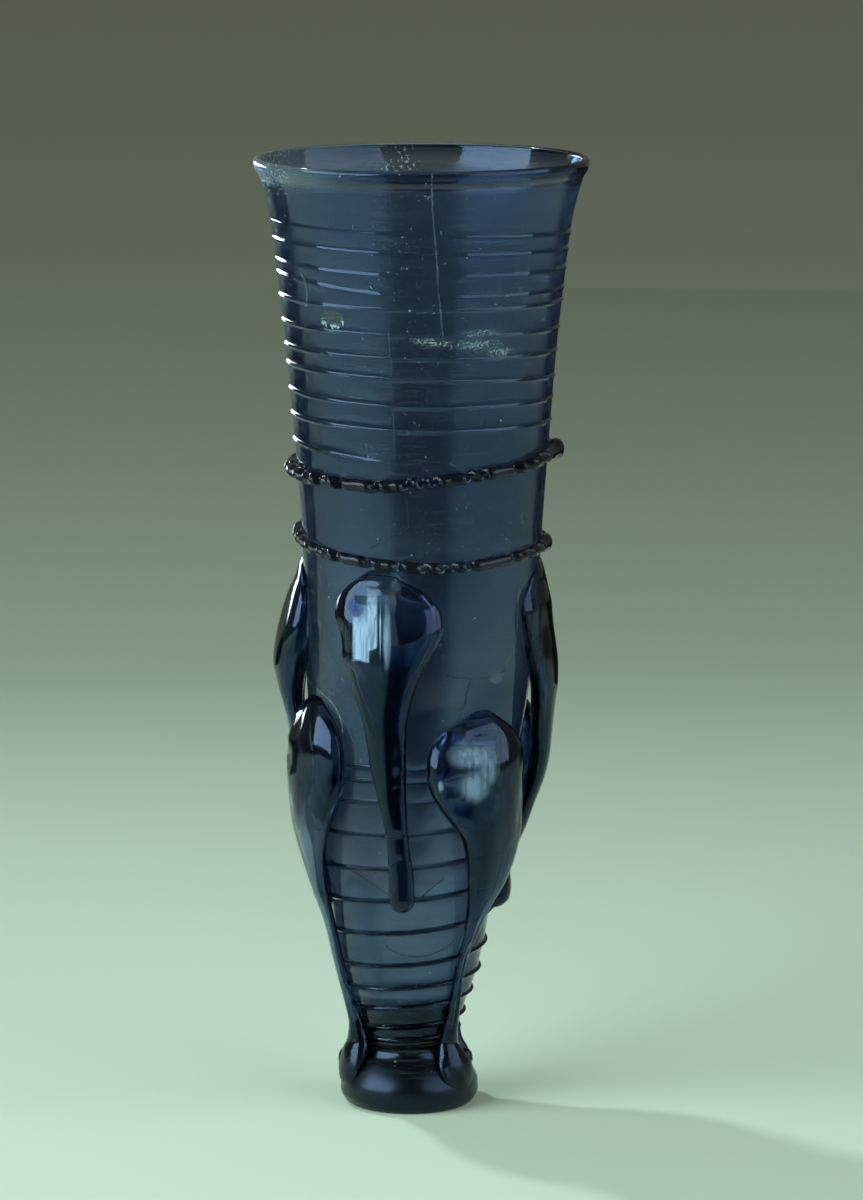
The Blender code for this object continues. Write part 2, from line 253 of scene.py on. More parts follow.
def threaded_band(low, high, turns, path, form):
    """The outer wall between two edges, each a curve by bearing, with one thread wound on it."""
    band = sleeve(ROWS, turns + 1, climb=1.0)
    climbing = 1 if path(1) > path(0) else -1
    for corner in band.verts:
        bearing = bearing_of(corner.co)
        count = round((corner.co.z + SPIN_START - bearing / FULL_TURN) * ROWS)
        turn, row = divmod(count, ROWS)
        wound = turn - 1 + bearing / FULL_TURN
        height = path(wound)
        proud = 0.0
        if row == 0:
            height = (height + path(wound - 1)) / 2
        else:
            half_width, rise = form(wound)
            step, share = RIDGE_ROWS[row - 1]
            neighbour = path(wound + (1 if step > 0 else -1))
            half_width = min(half_width, GAP_SHARE * abs(neighbour - height) / RIDGE_REACH)
            height += climbing * step * half_width
            proud = rise * share
        bottom, top = low(bearing), high(bearing)
        if not bottom < height < top:
            height, proud = min(max(height, bottom), top), 0.0
        corner.co = at(OUTER(height) + proud, bearing, height)
    bmesh.ops.remove_doubles(band, verts=band.verts, dist=MERGE)
    return band


# %% [markdown]
# ## Where the trails run
# Each trail is a table with a row for every turn: its heights at the left side, the front and the right
# side of the photograph. Rows that lie past a band's edge only steady the curve there. The upper trail is
# smeared flat near the rim and crisp lower down, and both fade out at their ends.

# %% The upper and the lower trail
UPPER_CROSSINGS = (
    (246, 245, 240), (238.9, 239, 236.8), (235.2, 234.1, 231.9), (230.4, 229.2, 227.7),
    (224.9, 223.5, 222.8), (221.6, 218.4, 217.6), (215.8, 215, 214.4), (209.2, 208.3, 207.4),
    (203, 202.3, 201.4), (198.2, 196.9, 194.7), (191.4, 189.6, 189), (184.9, 183.5, 183),
    (177.9, 175, 172.5), (170, 168, 166), (163, 161, 159),
)
LOWER_CROSSINGS = (
    (10.6, 11.2, 11.8), (13, 13.5, 14.2), (16.2, 17, 17.6), (18.6, 19.3, 20.2), (21.6, 23.1, 24.6),
    (27, 28.9, 30.4), (32.8, 34.6, 36.4), (39.2, 41.1, 43.6), (48, 50.3, 52.8), (57, 59.3, 61.8),
    (66, 68.2, 70.7), (75.2, 77.4, 79.6), (84.2, 86, 87.6), (90.3, 91.5, 92.6), (94.2, 95, 96.2),
    (98.6, 99.6, 101), (104, 105.5, 107),
)
UPPER_START, UPPER_END = 1.7, 11.96
LOWER_START, LOWER_END = 1.8, 14.1
FADE = 0.04
SOFT_THREAD, CRISP_CHANGE = (0.85, 0.24), (-0.4, 0.18)
CRISP_FROM, CRISP_OVER = 4.3, 1.7
LOWER_THREAD = (0.62, 0.95)
COIL_CLEARANCE = 2.4
LOWER_BAND_FOOT = 15.2
LOWER_BAND_TOP = 97.6
UPPER_BAND_TOP = 237.6
UPPER_COIL_PATH = (
    (-180, 172.8), (-135, 171.6), (-95, 170.3), (-62, 169.8), (-43, 169.7), (-31, 169.6), (-21, 169.4),
    (-11, 169.8), (-2, 170.5), (11, 171.1), (22, 171.9), (34, 172.6), (46, 173), (57, 173.6), (67, 174.4),
    (90, 174.9), (135, 174.2), (180, 172.8),
)
LOWER_COIL_PATH = (
    (-180, 152.9), (-135, 153.7), (-95, 153.3), (-75, 152.1), (-50, 150.5), (-34, 149.8), (-22, 149.2),
    (-10, 148.6), (7, 148.2), (22, 148.3), (33, 148.7), (46, 149.3), (58, 149.6), (69, 150), (90, 150.4),
    (135, 151.6), (180, 152.9),
)


def fading(wound, start, end):
    """1 along a thread, falling to 0 at its ends."""
    return held(min(wound - start, end - wound) / FADE)


def upper_thread(wound):
    """Half width and rise of the fine thread, soft in its first turns and crisp in the later ones."""
    crisp = held((wound - CRISP_FROM) / CRISP_OVER)
    half_width, rise = (soft + more * crisp for soft, more in zip(SOFT_THREAD, CRISP_CHANGE))
    return half_width, rise * fading(wound, UPPER_START, UPPER_END)


def lower_thread(wound):
    """Half width and rise of the coarse thread."""
    return LOWER_THREAD[0], LOWER_THREAD[1] * fading(wound, LOWER_START, LOWER_END)


upper_coil, lower_coil = Curve(UPPER_COIL_PATH), Curve(LOWER_COIL_PATH)
upper_band = threaded_band(
    lambda bearing: upper_coil(bearing) + COIL_CLEARANCE,
    lambda bearing: UPPER_BAND_TOP,
    len(UPPER_CROSSINGS),
    winding(UPPER_CROSSINGS),
    upper_thread,
)
lower_band = threaded_band(
    lambda bearing: LOWER_BAND_FOOT,
    lambda bearing: LOWER_BAND_TOP,
    len(LOWER_CROSSINGS),
    winding(LOWER_CROSSINGS),
    lower_thread,
)
print("faces in the upper and lower bands:", len(upper_band.faces), len(lower_band.faces))

# %% [markdown]
# ## The rest of the vessel
# The pad foot, the rim and the whole inside are round and plain, so each is an outline spun once round the
# axis. The foot is a blob of glass pressed flat, and its underside is slightly hollow, so it stands on a
# ring. The rim was rounded in the fire, which leaves a thicker lip. Between the two trails the wall is a
# plain sleeve, stretched to meet the band above it, whose edge follows the upper coil.

# %% Foot, plain wall, rim and inside
FOOT = Curve(
    (
        (0, 0, 1.2), (1, 10, 0.9), (2, 14, 0.3), (3, 15.6, 0), (4, 16.6, 0.35), (5, 17.7, 1.7),
        (6, 18.28, 3.6), (7, 18.1, 6), (8, 17.2, 8.2), (9, 15.9, 10.2), (10, 14.4, 12), (11, 12.9, 13.6),
        (12, OUTER(LOWER_BAND_FOOT), LOWER_BAND_FOOT),
    )
)
FOOT_STEPS = 44
PLAIN_ROWS = 34
RIM_STEPS = 12
LIP_STEPS = 9
INSIDE_STEP = 3.0
INSIDE_TOP = 247.0
BOWL_STEPS = 9


def turned(profile):
    """An outline of (radius, height) spun once round the axis."""
    lathe = bmesh.new()
    corners = [lathe.verts.new((radius, 0, height)) for radius, height in profile]
    edges = [lathe.edges.new(pair) for pair in zip(corners, corners[1:])]
    spun(lathe, corners + edges, SEGMENTS, use_merge=True)
    bmesh.ops.remove_doubles(lathe, verts=lathe.verts, dist=MERGE)
    return lathe


def steps_between(start, end, count):
    """Even steps from a start to an end, both included."""
    return [start + (end - start) * step / count for step in range(count + 1)]


foot = turned([FOOT(stop) for stop in steps_between(0, 12, FOOT_STEPS)])
plain_wall = sleeve(PLAIN_ROWS)
for corner in plain_wall.verts:
    bearing = bearing_of(corner.co)
    top = upper_coil(bearing) + COIL_CLEARANCE
    height = LOWER_BAND_TOP + (top - LOWER_BAND_TOP) * corner.co.z
    corner.co = at(OUTER(height), bearing, height)

lip_middle = RIM_RADIUS - LIP_RADIUS
rim_heights = steps_between(UPPER_BAND_TOP, LIP_HEIGHT, RIM_STEPS)[:-1]
lip_turns = steps_between(0, math.pi, LIP_STEPS)
inside_heights = steps_between(INSIDE_TOP, BOWL_TOP, round((INSIDE_TOP - BOWL_TOP) / INSIDE_STEP))
bowl_radius, bowl_depth = OUTER(BOWL_TOP) - WALL(BOWL_TOP), BOWL_TOP - FLOOR_HEIGHT
bowl_turns = steps_between(0, math.pi / 2, BOWL_STEPS)[1:]
inside = turned(
    [
        *((OUTER(height), height) for height in rim_heights),
        *((lip_middle + LIP_RADIUS * math.cos(t), LIP_HEIGHT + LIP_RADIUS * math.sin(t)) for t in lip_turns),
        *((OUTER(height) - WALL(height), height) for height in inside_heights),
        *((bowl_radius * math.cos(t), BOWL_TOP - bowl_depth * math.sin(t)) for t in bowl_turns),
    ]
)
print("faces in foot, plain wall and inside:", *(len(p.faces) for p in (foot, plain_wall, inside)))

# %% [markdown]
# ## One closed skin
# The five parts share their edge rings, so merging the doubled corners closes the skin. A glass shader
# needs that: light bends when it enters a closed skin and again when it leaves it.

# %% Join the vessel


def kept(piece, name):
    """An object with the mesh of a bmesh, which is freed."""
    mesh = bpy.data.meshes.new(name)
    piece.to_mesh(mesh)
    piece.free()
    made = bpy.data.objects.new(name, mesh)
    bpy.context.collection.objects.link(made)
    return made


def joined(parts):
    """One bmesh of several, which are freed."""
    whole = bmesh.new()
    for part in parts:
        mesh = bpy.data.meshes.new("part")
        part.to_mesh(mesh)
        part.free()
        whole.from_mesh(mesh)
        bpy.data.meshes.remove(mesh)
    return whole


vessel = joined([foot, lower_band, plain_wall, upper_band, inside])
bmesh.ops.remove_doubles(vessel, verts=vessel.verts, dist=2 * MERGE)
bmesh.ops.dissolve_degenerate(vessel, edges=vessel.edges, dist=MERGE)
bmesh.ops.recalc_face_normals(vessel, faces=vessel.faces)
open_edges = [edge for edge in vessel.edges if not edge.is_manifold]
print("vessel faces:", len(vessel.faces), "open edges:", len(open_edges))
vessel = kept(vessel, "vessel")

# %% [markdown]
# ## The notched coils
# Two heavier threads lie round the body above the claws. Each was laid on as a hot coil and then nipped
# with pincers all the way round, which squeezes it into a row of lumps. Its ends meet in a blob at the
# right. Each coil is a spun ring whose corners are moved to the coil's own path, thickness and notches.

# %% Coils
COIL_STEPS = 432
COIL_SIDES = 14
COIL_SINK = 0.7
RING_RADIUS = 10.0
RING_START = 0.37
NIP_SPREAD = 1.8
NIP_SLANT = 1.3
NIP_DEPTH = 0.6
NIP_FLANK = 0.12
FLANK_AT = 2.2
NIP_THINNING = 0.3
BLOB_SWELL = 1.8
BLOB_COVER = 1.5
UPPER_NIPS = (
    *range(-265, -90, 11), -84, -73, -63, -50.3, -38.1, -20.3, -6.0, 0.8, 5.6, 21.7, 27.8, 45.6, 53.5, 65.3,
)
LOWER_NIPS = (
    *range(-262, -90, 10), -82, -74, -67, -56.4, -41.6, -25.1, -10.1, 1.9, 10.6, 15.1, 23.7, 48.2, 59.1, 71,
)


def apart(bearing, other):
    """The angle between two bearings, from -180 to 180."""
    return (bearing - other + 180) % FULL_TURN - 180


def nipped(bearing, nips):
    """How far the coil is squeezed: most in a notch, and a little less than nothing at its flanks."""
    gap = min(abs(apart(bearing, nip)) for nip in nips)
    notch = math.exp(-((gap / NIP_SPREAD) ** 2))
    flank = math.exp(-(((gap - FLANK_AT * NIP_SPREAD) / NIP_SPREAD) ** 2))
    return NIP_DEPTH * notch - NIP_FLANK * flank


def coil(path, thickness, proud, blob, nips):
    """A notched coil round the body. Its blob is a bearing, a spread in degrees and a growth."""
    ring = bmesh.new()
    upright = Matrix.Rotation(math.pi / 2, 4, "X")
    start = Matrix.Rotation(math.radians(RING_START), 4, "Z")
    middle = Matrix.Translation((RING_RADIUS, 0, 0))
    bmesh.ops.create_circle(ring, segments=COIL_SIDES, radius=1, matrix=start @ middle @ upright)
    spun(ring, [*ring.verts, *ring.edges], COIL_STEPS, use_merge=True)
    bmesh.ops.remove_doubles(ring, verts=ring.verts, dist=MERGE / 10)
    where, spread, growth = blob
    for corner in ring.verts:
        up, out = corner.co.z, math.hypot(corner.co.x, corner.co.y) - RING_RADIUS
        bearing = bearing_of(corner.co)
        away = apart(bearing, where)
        lump = 1 + growth * math.exp(-((away / spread) ** 2))
        nip = nipped(bearing + NIP_SLANT * up, nips) * (1 - math.exp(-((away / (BLOB_COVER * spread)) ** 2)))
        stand = proud * lump * (1 - nip)
        half = thickness / 2 * (1 + (lump - 1) * BLOB_SWELL) * (1 - NIP_THINNING * nip)
        height = path(bearing) + half * up
        centre = OUTER(height) + (stand - COIL_SINK) / 2
        corner.co = at(centre + (stand + COIL_SINK) / 2 * out, bearing, height)
    bmesh.ops.recalc_face_normals(ring, faces=ring.faces)
    return ring


coils = [
    kept(coil(upper_coil, 3.4, 3.0, (87, 6, 0.42), UPPER_NIPS), "upper_coil"),
    kept(coil(lower_coil, 3.0, 2.2, (86, 7, 0.35), LOWER_NIPS), "lower_coil"),
]
print("coil faces:", *(len(piece.data.polygons) for piece in coils))

# %% [markdown]
# ## The claws
# For a claw, the blower set a blob of hot glass on the cooled wall, which softened the wall under it, and
# blew so that wall and blob swelled out together into a hood. The hood was then hooked and drawn down, and
# its tail was pressed back on the wall lower down. So a claw is hollow, is open to the inside behind its
# hood, and hangs free of the wall for part of its tail. Each is a stack of level rings from a table:
# height, the bearings of its two sides, the radius of its crest, and the gap behind it, where a negative
# gap is sunk in the wall.

# %% Claw skins
CLAW_SIDES = 34
CLAW_STEP = 1.25
CLAW_ENDS = (0.0, 0.35, 0.8, 1.35)
WIDEST_AT = 0.42
FULLNESS = 0.82
BACK_FULLNESS = 0.9
DENT_REACH = 2.6


def stations(rows):
    """Heights down a claw, closer together at its two ends."""
    top, bottom = rows[0][0], rows[-1][0]
    inner = [top - near for near in CLAW_ENDS], [bottom + near for near in reversed(CLAW_ENDS)]
    span = inner[0][-1] - inner[1][0]
    count = max(2, round(span / CLAW_STEP))
    return inner[0][:-1] + steps_between(inner[0][-1], inner[1][0], count) + inner[1][1:]


def bulge(value, power):
    """A power that keeps the sign: below 1 it makes a round side fuller."""
    return math.copysign(abs(value) ** power, value)


def dented(height, bearing, dents):
    """The depth of the dents at a place. A dent: height, bearing, half height, half width, depth, slant."""
    depth = 0.0
    for middle, side, high, wide, deep, slant in dents:
        down = height - middle
        away = (bearing - side - slant * down) / wide
        if abs(down) < DENT_REACH * high and abs(away) < DENT_REACH:
            depth += deep * math.exp(-((down / high) ** 2) - away * away)
    return depth


def claw_skin(rows, dents=()):
    """A closed skin over level rings, pressed in by its dents."""
    form = Curve(rows)
    skin = bmesh.new()
    ring = bmesh.ops.create_circle(skin, segments=CLAW_SIDES, radius=1)["verts"]
    levels = [ring]
    edges = list(skin.edges)
    heights = stations(rows)
    for _ in heights[1:]:
        grown = bmesh.ops.extrude_edge_only(skin, edges=edges)["geom"]
        edges = [item for item in grown if isinstance(item, bmesh.types.BMEdge) and not item.link_faces[1:]]
        levels.append([item for item in grown if isinstance(item, bmesh.types.BMVert)])
    for height, level in zip(heights, levels):
        left, right, crest, gap = form(height)
        back = OUTER(height) + gap
        widest = back + (crest - back) * WIDEST_AT
        for corner in level:
            turn = math.atan2(corner.co.x, corner.co.y)
            aside, out = math.sin(turn), math.cos(turn)
            bearing = (left + right) / 2 + (right - left) / 2 * aside
            if out > 0:
                radius = widest + (crest - widest) * bulge(out, FULLNESS)
                radius -= dented(height, bearing, dents) * min(1, 2 * out)
            else:
                radius = widest + (widest - back) * bulge(out, BACK_FULLNESS)
            corner.co = at(radius, bearing, height)
    ends = [edge for edge in skin.edges if edge.is_boundary]
    bmesh.ops.holes_fill(skin, edges=ends, sides=0)
    bmesh.ops.recalc_face_normals(skin, faces=skin.faces)
    return skin


# %% [markdown]
# ## The claws' measures
# The three claws in front were measured on the photograph. The two at the sides show only in outline, and
# the three behind hardly at all, so those follow the spacing and the form of the front ones.

# %% Claw tables
UPPER_FRONT = (
    (148.6, -21, -16, 30.4, -1), (146.6, -27, -10, 32.2, -1), (144.6, -32, -7, 33.6, -1),
    (142.6, -36, 1.5, 34.9, -1), (140, -39.6, 6.2, 36, -1), (136.2, -40.5, 10.3, 37.2, -1),
    (132.3, -37.4, 10.8, 38, -1), (128.3, -35.4, 8, 38.4, -1), (124.6, -35, 4.6, 38.2, -0.9),
    (120.6, -32, 1.5, 37.5, -0.6), (114.2, -29, -2.3, 36.2, 0.2), (106.2, -24.8, -4.7, 34.8, 0.9),
    (95.5, -22, -4.5, 33.2, 1), (82, -16.4, -3.5, 30.9, 0.9), (73.9, -14.4, -1.9, 28.8, 0.4),
    (68.5, -14.3, 0.2, 27.4, -0.3), (63.5, -14.3, 1.7, 27, -0.6), (58.8, -13.6, 2, 26.3, -0.6),
    (56.8, -11.4, -0.2, 25.2, -0.6), (55.9, -8.2, -3.2, 23.4, -0.8),
)
UPPER_RIGHT = (
    (147.4, 81, 86, 30.6, -1), (145.4, 75, 92, 31.6, -1), (142.4, 67, 98, 32.4, -1),
    (138.5, 60, 106, 33.4, -1), (134.7, 57, 109, 34.3, -1), (129.4, 59, 109, 34.9, -1),
    (124.1, 62, 107, 35.8, -1), (118.7, 66, 104, 36.6, -0.6), (114, 69, 101, 36.8, 0.5),
    (108, 71, 98, 36.4, 1.3), (100, 74, 95, 35.9, 2), (94.6, 75, 94, 35.6, 2.6), (89.2, 76, 92, 34.7, 2.4),
    (81.2, 76.5, 91, 32.1, 1.2), (75.8, 77, 90.5, 30.4, 0.6), (67.7, 77, 90, 27.4, 0.1),
    (62.3, 76, 90, 26.4, -0.3), (58.6, 74, 91, 26.7, -0.5), (55.8, 74, 91, 26.4, -0.6),
    (53.6, 77, 88, 24.6, -0.6), (52.7, 80, 85, 22, -0.8),
)
UPPER_BACK = (
    (148, 173, 179, 30.4, -1), (146, 166, 185, 31.9, -1), (142.5, 158, 193, 33.9, -1),
    (138.5, 152, 199, 35.4, -1), (133.5, 150, 202, 36.6, -1), (128, 153, 200, 37.3, -1),
    (122.5, 157, 196, 37.4, -0.8), (116.5, 161, 191, 36.8, 0.3), (108, 164, 186, 35.8, 1.2),
    (98, 166, 184, 34.3, 1.6), (88, 168, 184, 32.3, 1.5), (78, 170, 184, 29.6, 0.8),
    (70, 171, 185, 27, -0.2), (63.5, 170, 187, 26.6, -0.6), (59, 171, 186, 25.4, -0.6),
    (56.6, 174, 183, 23.6, -0.6), (55.8, 177, 180, 22.4, -0.8),
)
UPPER_LEFT = (
    (147.6, -97, -90, 30.5, -1), (145.4, -103, -84, 31.6, -1), (142, -110, -77, 33, -1),
    (138.5, -116, -71, 34.3, -1), (134.7, -119, -68, 35.6, -1), (129.4, -118, -68, 37, -1),
    (124.1, -116, -70, 38, -1), (118.7, -113, -74, 38.4, -0.6), (113.4, -109, -78, 37.4, 0.5),
    (108, -106, -80, 35.9, 1.1), (102.7, -105, -82, 34.4, 1.2), (97.3, -103, -83, 33.4, 1.3),
    (88, -101, -84, 31.6, 1.3), (78, -99, -85, 29.4, 0.8), (69, -98, -85, 26.8, 0),
    (62.3, -99, -84, 25.8, -0.4), (58.4, -101, -83, 26.4, -0.6), (55.4, -101, -83, 26, -0.6),
    (53.2, -98, -86, 24, -0.6), (52.3, -94, -90, 22, -0.8),
)
LOWER_FRONT_RIGHT = (
    (110.4, 33, 38, 28.2, -1), (108.6, 27.5, 43.5, 30.3, -1.1), (107.2, 22.5, 47, 31.4, -1.1),
    (105.2, 14.5, 52.3, 32.8, -1.1), (101.8, 7.4, 58.5, 34.4, -1.1), (97.7, 5.2, 60.5, 35.6, -1.1),
    (93.6, 5.5, 60.8, 36.1, -1.1), (89.5, 7.3, 61, 36.2, -1.1), (85.3, 11.9, 61.4, 36, -1),
    (81, 18.3, 62, 35.4, -0.3), (75.9, 25.6, 63, 34.3, 0.8), (69.9, 29.5, 63, 32.7, 1.6),
    (63.1, 32.6, 60.7, 30.4, 1.8), (56.2, 36.1, 53, 27.8, 1.2), (49.4, 37.9, 47.8, 25.2, 0.6),
    (42.6, 38.4, 45.4, 22.7, -0.4), (35.5, 38.4, 46, 20.4, -0.6), (28.2, 40.4, 51.5, 18.1, -0.8),
    (23.5, 40, 55, 16.9, -0.8), (19.5, 38, 58, 16.2, -0.8), (15.5, 34, 66, 17, -0.8),
    (12, 30, 74, 18.4, -0.8), (8.8, 31, 75, 18.9, -0.9), (6.2, 38, 68, 18.7, -0.9), (5, 46, 60, 17.6, -0.9),
)
LOWER_BACK_RIGHT = (
    (110.6, 124, 130, 28.2, -1), (108.8, 117, 136, 30.2, -1.1), (106, 107, 146, 32.4, -1.1),
    (102, 101, 153, 34.4, -1.1), (97.7, 99, 156, 35.8, -1.1), (93, 100, 157, 36.4, -1.1),
    (88, 103, 156, 36.3, -1.1), (83, 108, 153, 35.8, -0.8), (77, 113, 149, 34.6, 0.6),
    (70, 117, 145, 32.6, 1.5), (62, 120, 141, 29.8, 1.6), (54, 122, 137, 26.8, 0.8),
    (46, 124, 134, 23.8, 0), (38, 124, 133, 21, -0.6), (30, 123, 133, 18.4, -0.8),
    (22, 120, 137, 16.2, -0.8), (15.5, 114, 142, 16.6, -0.8), (12, 110, 146, 18, -0.8),
    (8.8, 110, 147, 18.6, -0.9), (6.2, 116, 142, 18.5, -0.9), (5, 123, 135, 17.6, -0.9),
)
LOWER_BACK_LEFT = (
    (109.8, -149, -143, 28.2, -1), (107.9, -156, -136, 30.2, -1.1), (105, -167, -127, 32.4, -1.1),
    (101, -174, -120, 34.2, -1.1), (96.5, -177, -118, 35.4, -1.1), (92, -177, -119, 35.8, -1.1),
    (87, -175, -122, 35.6, -1.1), (82, -172, -126, 34.8, -0.7), (76, -168, -130, 33.4, 0.5),
    (69, -164, -134, 31.2, 1.3), (61, -160, -139, 28.4, 1.2), (53, -156, -142, 25.6, 0.6),
    (45, -153, -143, 22.8, -0.2), (37, -152, -143, 20.3, -0.6), (29, -153, -143, 17.9, -0.8),
    (21.5, -157, -140, 15.9, -0.8), (15.5, -162, -134, 16.4, -0.8), (12, -166, -130, 17.9, -0.8),
    (8.8, -166, -130, 18.6, -0.9), (6.2, -160, -136, 18.5, -0.9), (5, -153, -142, 17.6, -0.9),
)
LOWER_FRONT_LEFT = (
    (112.2, -69, -62, 28.5, -1), (110.6, -74, -57, 30.4, -1.1), (108, -80, -50, 32, -1.1),
    (105.8, -85, -45.5, 33, -1.1), (101.2, -91, -40.2, 34.2, -1.1), (96, -93, -38.4, 34.8, -1.1),
    (91.5, -92, -38.6, 34.9, -1.1), (87, -90, -41, 34.6, -1), (82, -89, -45, 34, -0.6),
    (77.6, -88, -50, 33.2, 0.2), (73.1, -88, -54.5, 31.9, 0.8), (68, -87, -59, 30.2, 1),
    (62, -86, -62.5, 28.2, 1), (56, -85, -64, 26, 0.8), (48.7, -83, -64, 23.4, 0.4),
    (41, -82, -64.5, 21.5, -0.2), (33, -81, -65, 19.4, -0.6), (27, -81, -64, 17.8, -0.8),
    (21.5, -82, -58, 16.8, -0.8), (17.5, -90, -54, 17, -0.8), (14.8, -97, -52, 18, -0.8),
    (12.6, -99, -52, 18.5, -0.8), (9.4, -100, -54, 19, -0.9), (6.6, -94, -58, 18.8, -0.9),
    (5.2, -84, -66, 17.8, -0.9),
)
print("rows in the tables of the three front claws:", len(UPPER_FRONT + LOWER_FRONT_RIGHT + LOWER_FRONT_LEFT))

# %% [markdown]
# ## Dents and folds
# Each hood was pinched and pulled while soft, so it is not a smooth bulb. A front hood has a dip between
# two lobes, a hollow under its rim, and a lip where the blown part ends and the drawn tail begins. A dent
# is a soft oval pressed in by some depth, and a negative depth raises a lip. The last table puts a claw
# together: its rings, its dents, the share of its length that is hollow, and the glass in its tail, with
# the share of the length where that begins.

# %% Dents
FRONT_DENTS = (
    (143.5, -8.5, 4.5, 4, 1.6, 0), (134, -8, 8, 4.5, 0.7, 0), (141.6, -21, 1.5, 9, 1.3, 0),
    (145.2, -20, 1.2, 8, -0.6, 0), (140.6, 0.5, 1.6, 5, 0.6, 0), (129, -15.8, 9, 0.9, 0.45, 0),
    (131, -23.5, 7, 3, -0.5, 0), (124.3, -26, 1, 6.5, -0.75, 0), (121.9, -25.5, 1.5, 7, 1, 0),
    (117.5, -17, 5.5, 1.6, 0.8, 0.1), (102.6, -6, 0.9, 4, -0.5, 0), (101, -6.5, 0.9, 4, 0.5, 0),
    (94, -9, 8.5, 1.3, 0.7, 0.1), (76.5, -9, 1.8, 5, 0.4, 0),
)
RIGHT_DENTS = (
    (130, 71, 8, 5, 1, 0), (140, 72, 2, 8, 0.5, 0), (104, 74, 10, 2.5, 0.6, 0), (64.5, 80, 1.6, 7, 0.5, 0),
)
LEFT_DENTS = (
    (132, -84, 8, 5, 0.8, 0), (141, -88, 2, 9, 0.4, 0), (104, -90, 10, 3, 0.5, 0),
)
BACK_DENTS = (
    (144, 178, 3.5, 5, 1, 0), (141, 168, 1.8, 9, 0.7, 0), (122.5, 162, 1.6, 8, 0.7, 0),
    (104, 177, 10, 2, 0.6, 0),
)
LOW_RIGHT_DENTS = (
    (102.6, 27, 1.7, 15, 1.1, 0), (106.4, 32, 1.2, 11, -0.4, 0), (94.3, 21, 1.8, 4, 0.8, 0),
    (95.8, 8, 1.3, 3.5, -0.8, 0), (92.4, 10, 1.7, 4, 1.1, 0), (89.6, 15, 1.4, 2.5, -0.6, 0),
    (86.5, 20, 3, 4, 0.7, 1), (83, 54, 11, 2.2, 0.8, 0.1), (70, 46, 9, 3, 0.6, 0), (46, 43, 9, 1.5, 0.4, 0),
    (17.6, 47, 1.1, 12, 0.9, 0), (9.5, 40, 3.5, 3, 0.8, -2),
)
LOW_LEFT_DENTS = (
    (103, -70, 6.5, 3.5, 1, 0), (95.6, -77, 3.6, 3, 1, -1.6), (98.4, -80, 2, 4, -0.5, 0),
    (89, -53, 7, 4, 0.8, 0.6), (76, -72, 9, 3.5, 0.5, 0),
)
BACK_RIGHT_DENTS = (
    (102.5, 124, 1.8, 15, 1, 0), (92, 112, 2, 6, 0.8, 0), (80, 134, 10, 2.5, 0.7, 0.1),
)
BACK_LEFT_DENTS = (
    (101.5, -148, 1.8, 15, 1, 0), (91, -162, 2, 6, 0.8, 0), (79, -142, 10, 2.5, 0.7, -0.1),
)
CLAWS = {
    "upper_front": (UPPER_FRONT, FRONT_DENTS, 0.55, 2.1, 0.5),
    "upper_right": (UPPER_RIGHT, RIGHT_DENTS, 0.55, 2.1, 0.5),
    "upper_back": (UPPER_BACK, BACK_DENTS, 0.55, 2.1, 0.5),
    "upper_left": (UPPER_LEFT, LEFT_DENTS, 0.7, 1.1, 0.35),
    "lower_front_right": (LOWER_FRONT_RIGHT, LOW_RIGHT_DENTS, 0.84, 0.9, 0.42),
    "lower_back_right": (LOWER_BACK_RIGHT, BACK_RIGHT_DENTS, 0.55, 2.1, 0.5),
    "lower_back_left": (LOWER_BACK_LEFT, BACK_LEFT_DENTS, 0.55, 2.1, 0.5),
    "lower_front_left": (LOWER_FRONT_LEFT, LOW_LEFT_DENTS, 0.84, 0.8, 0.22),
}
claws = [kept(claw_skin(rows, dents), name) for name, (rows, dents, *_) in CLAWS.items()]
print("faces in the claws:", sum(len(piece.data.polygons) for piece in claws))

# %% [markdown]
# ## Beads of spare glass
# Where the tails of the two lower front claws reach the foot, the spare glass of their ends was folded into
# small beads. Each is a ball, squeezed and sunk in the foot.

# %% Beads
BEADS = (
    ("fold_bead", -90, 14.4, 17.6, 2.0, 3.0),
    ("foot_bead", -86, 16.6, 11.4, 2.3, 3.4),
    ("curl_bead", 72, 15.4, 12.4, 2.2, 2.8),
)


def bead(name, bearing, radius, height, half_width, half_height):
    """A ball of glass at a place round the axis."""
    ball = bmesh.new()
    squeezed = Matrix.Diagonal((half_width, half_width, half_height, 1.0))
    bmesh.ops.create_uvsphere(
        ball,
        u_segments=28,
        v_segments=18,
        radius=1,
        matrix=Matrix.Translation(at(radius, bearing, height)) @ squeezed,
    )
    return kept(ball, name)


claws += [bead(*row) for row in BEADS]
print("beads:", len(BEADS))

# %% [markdown]
# ## The air inside the claws
# Each hollow is the claw's own shape drawn in by the thickness of its glass. Behind the hood it reaches
# right through the vessel's wall, and lower down it narrows to nothing in the tail. Thick hoods look nearly
# black. Three of the real tails let light through, so those are thinner and hollow further down.

# %% Hollows
CLAW_WALL = 2.1
OPEN_SHARE = 0.20
CLOSED_SHARE = 0.29
OVERRUN = 1.2
THINNING = 0.12
HOOD_TOP = 3.2
HOLLOW_STEPS = 22
SIDE_WALL = 1.15
DEEPEST_SUNK = -0.4
TAPER = 0.75
LEAST_SPACE = 0.4
LEAST_HALF = 1.0


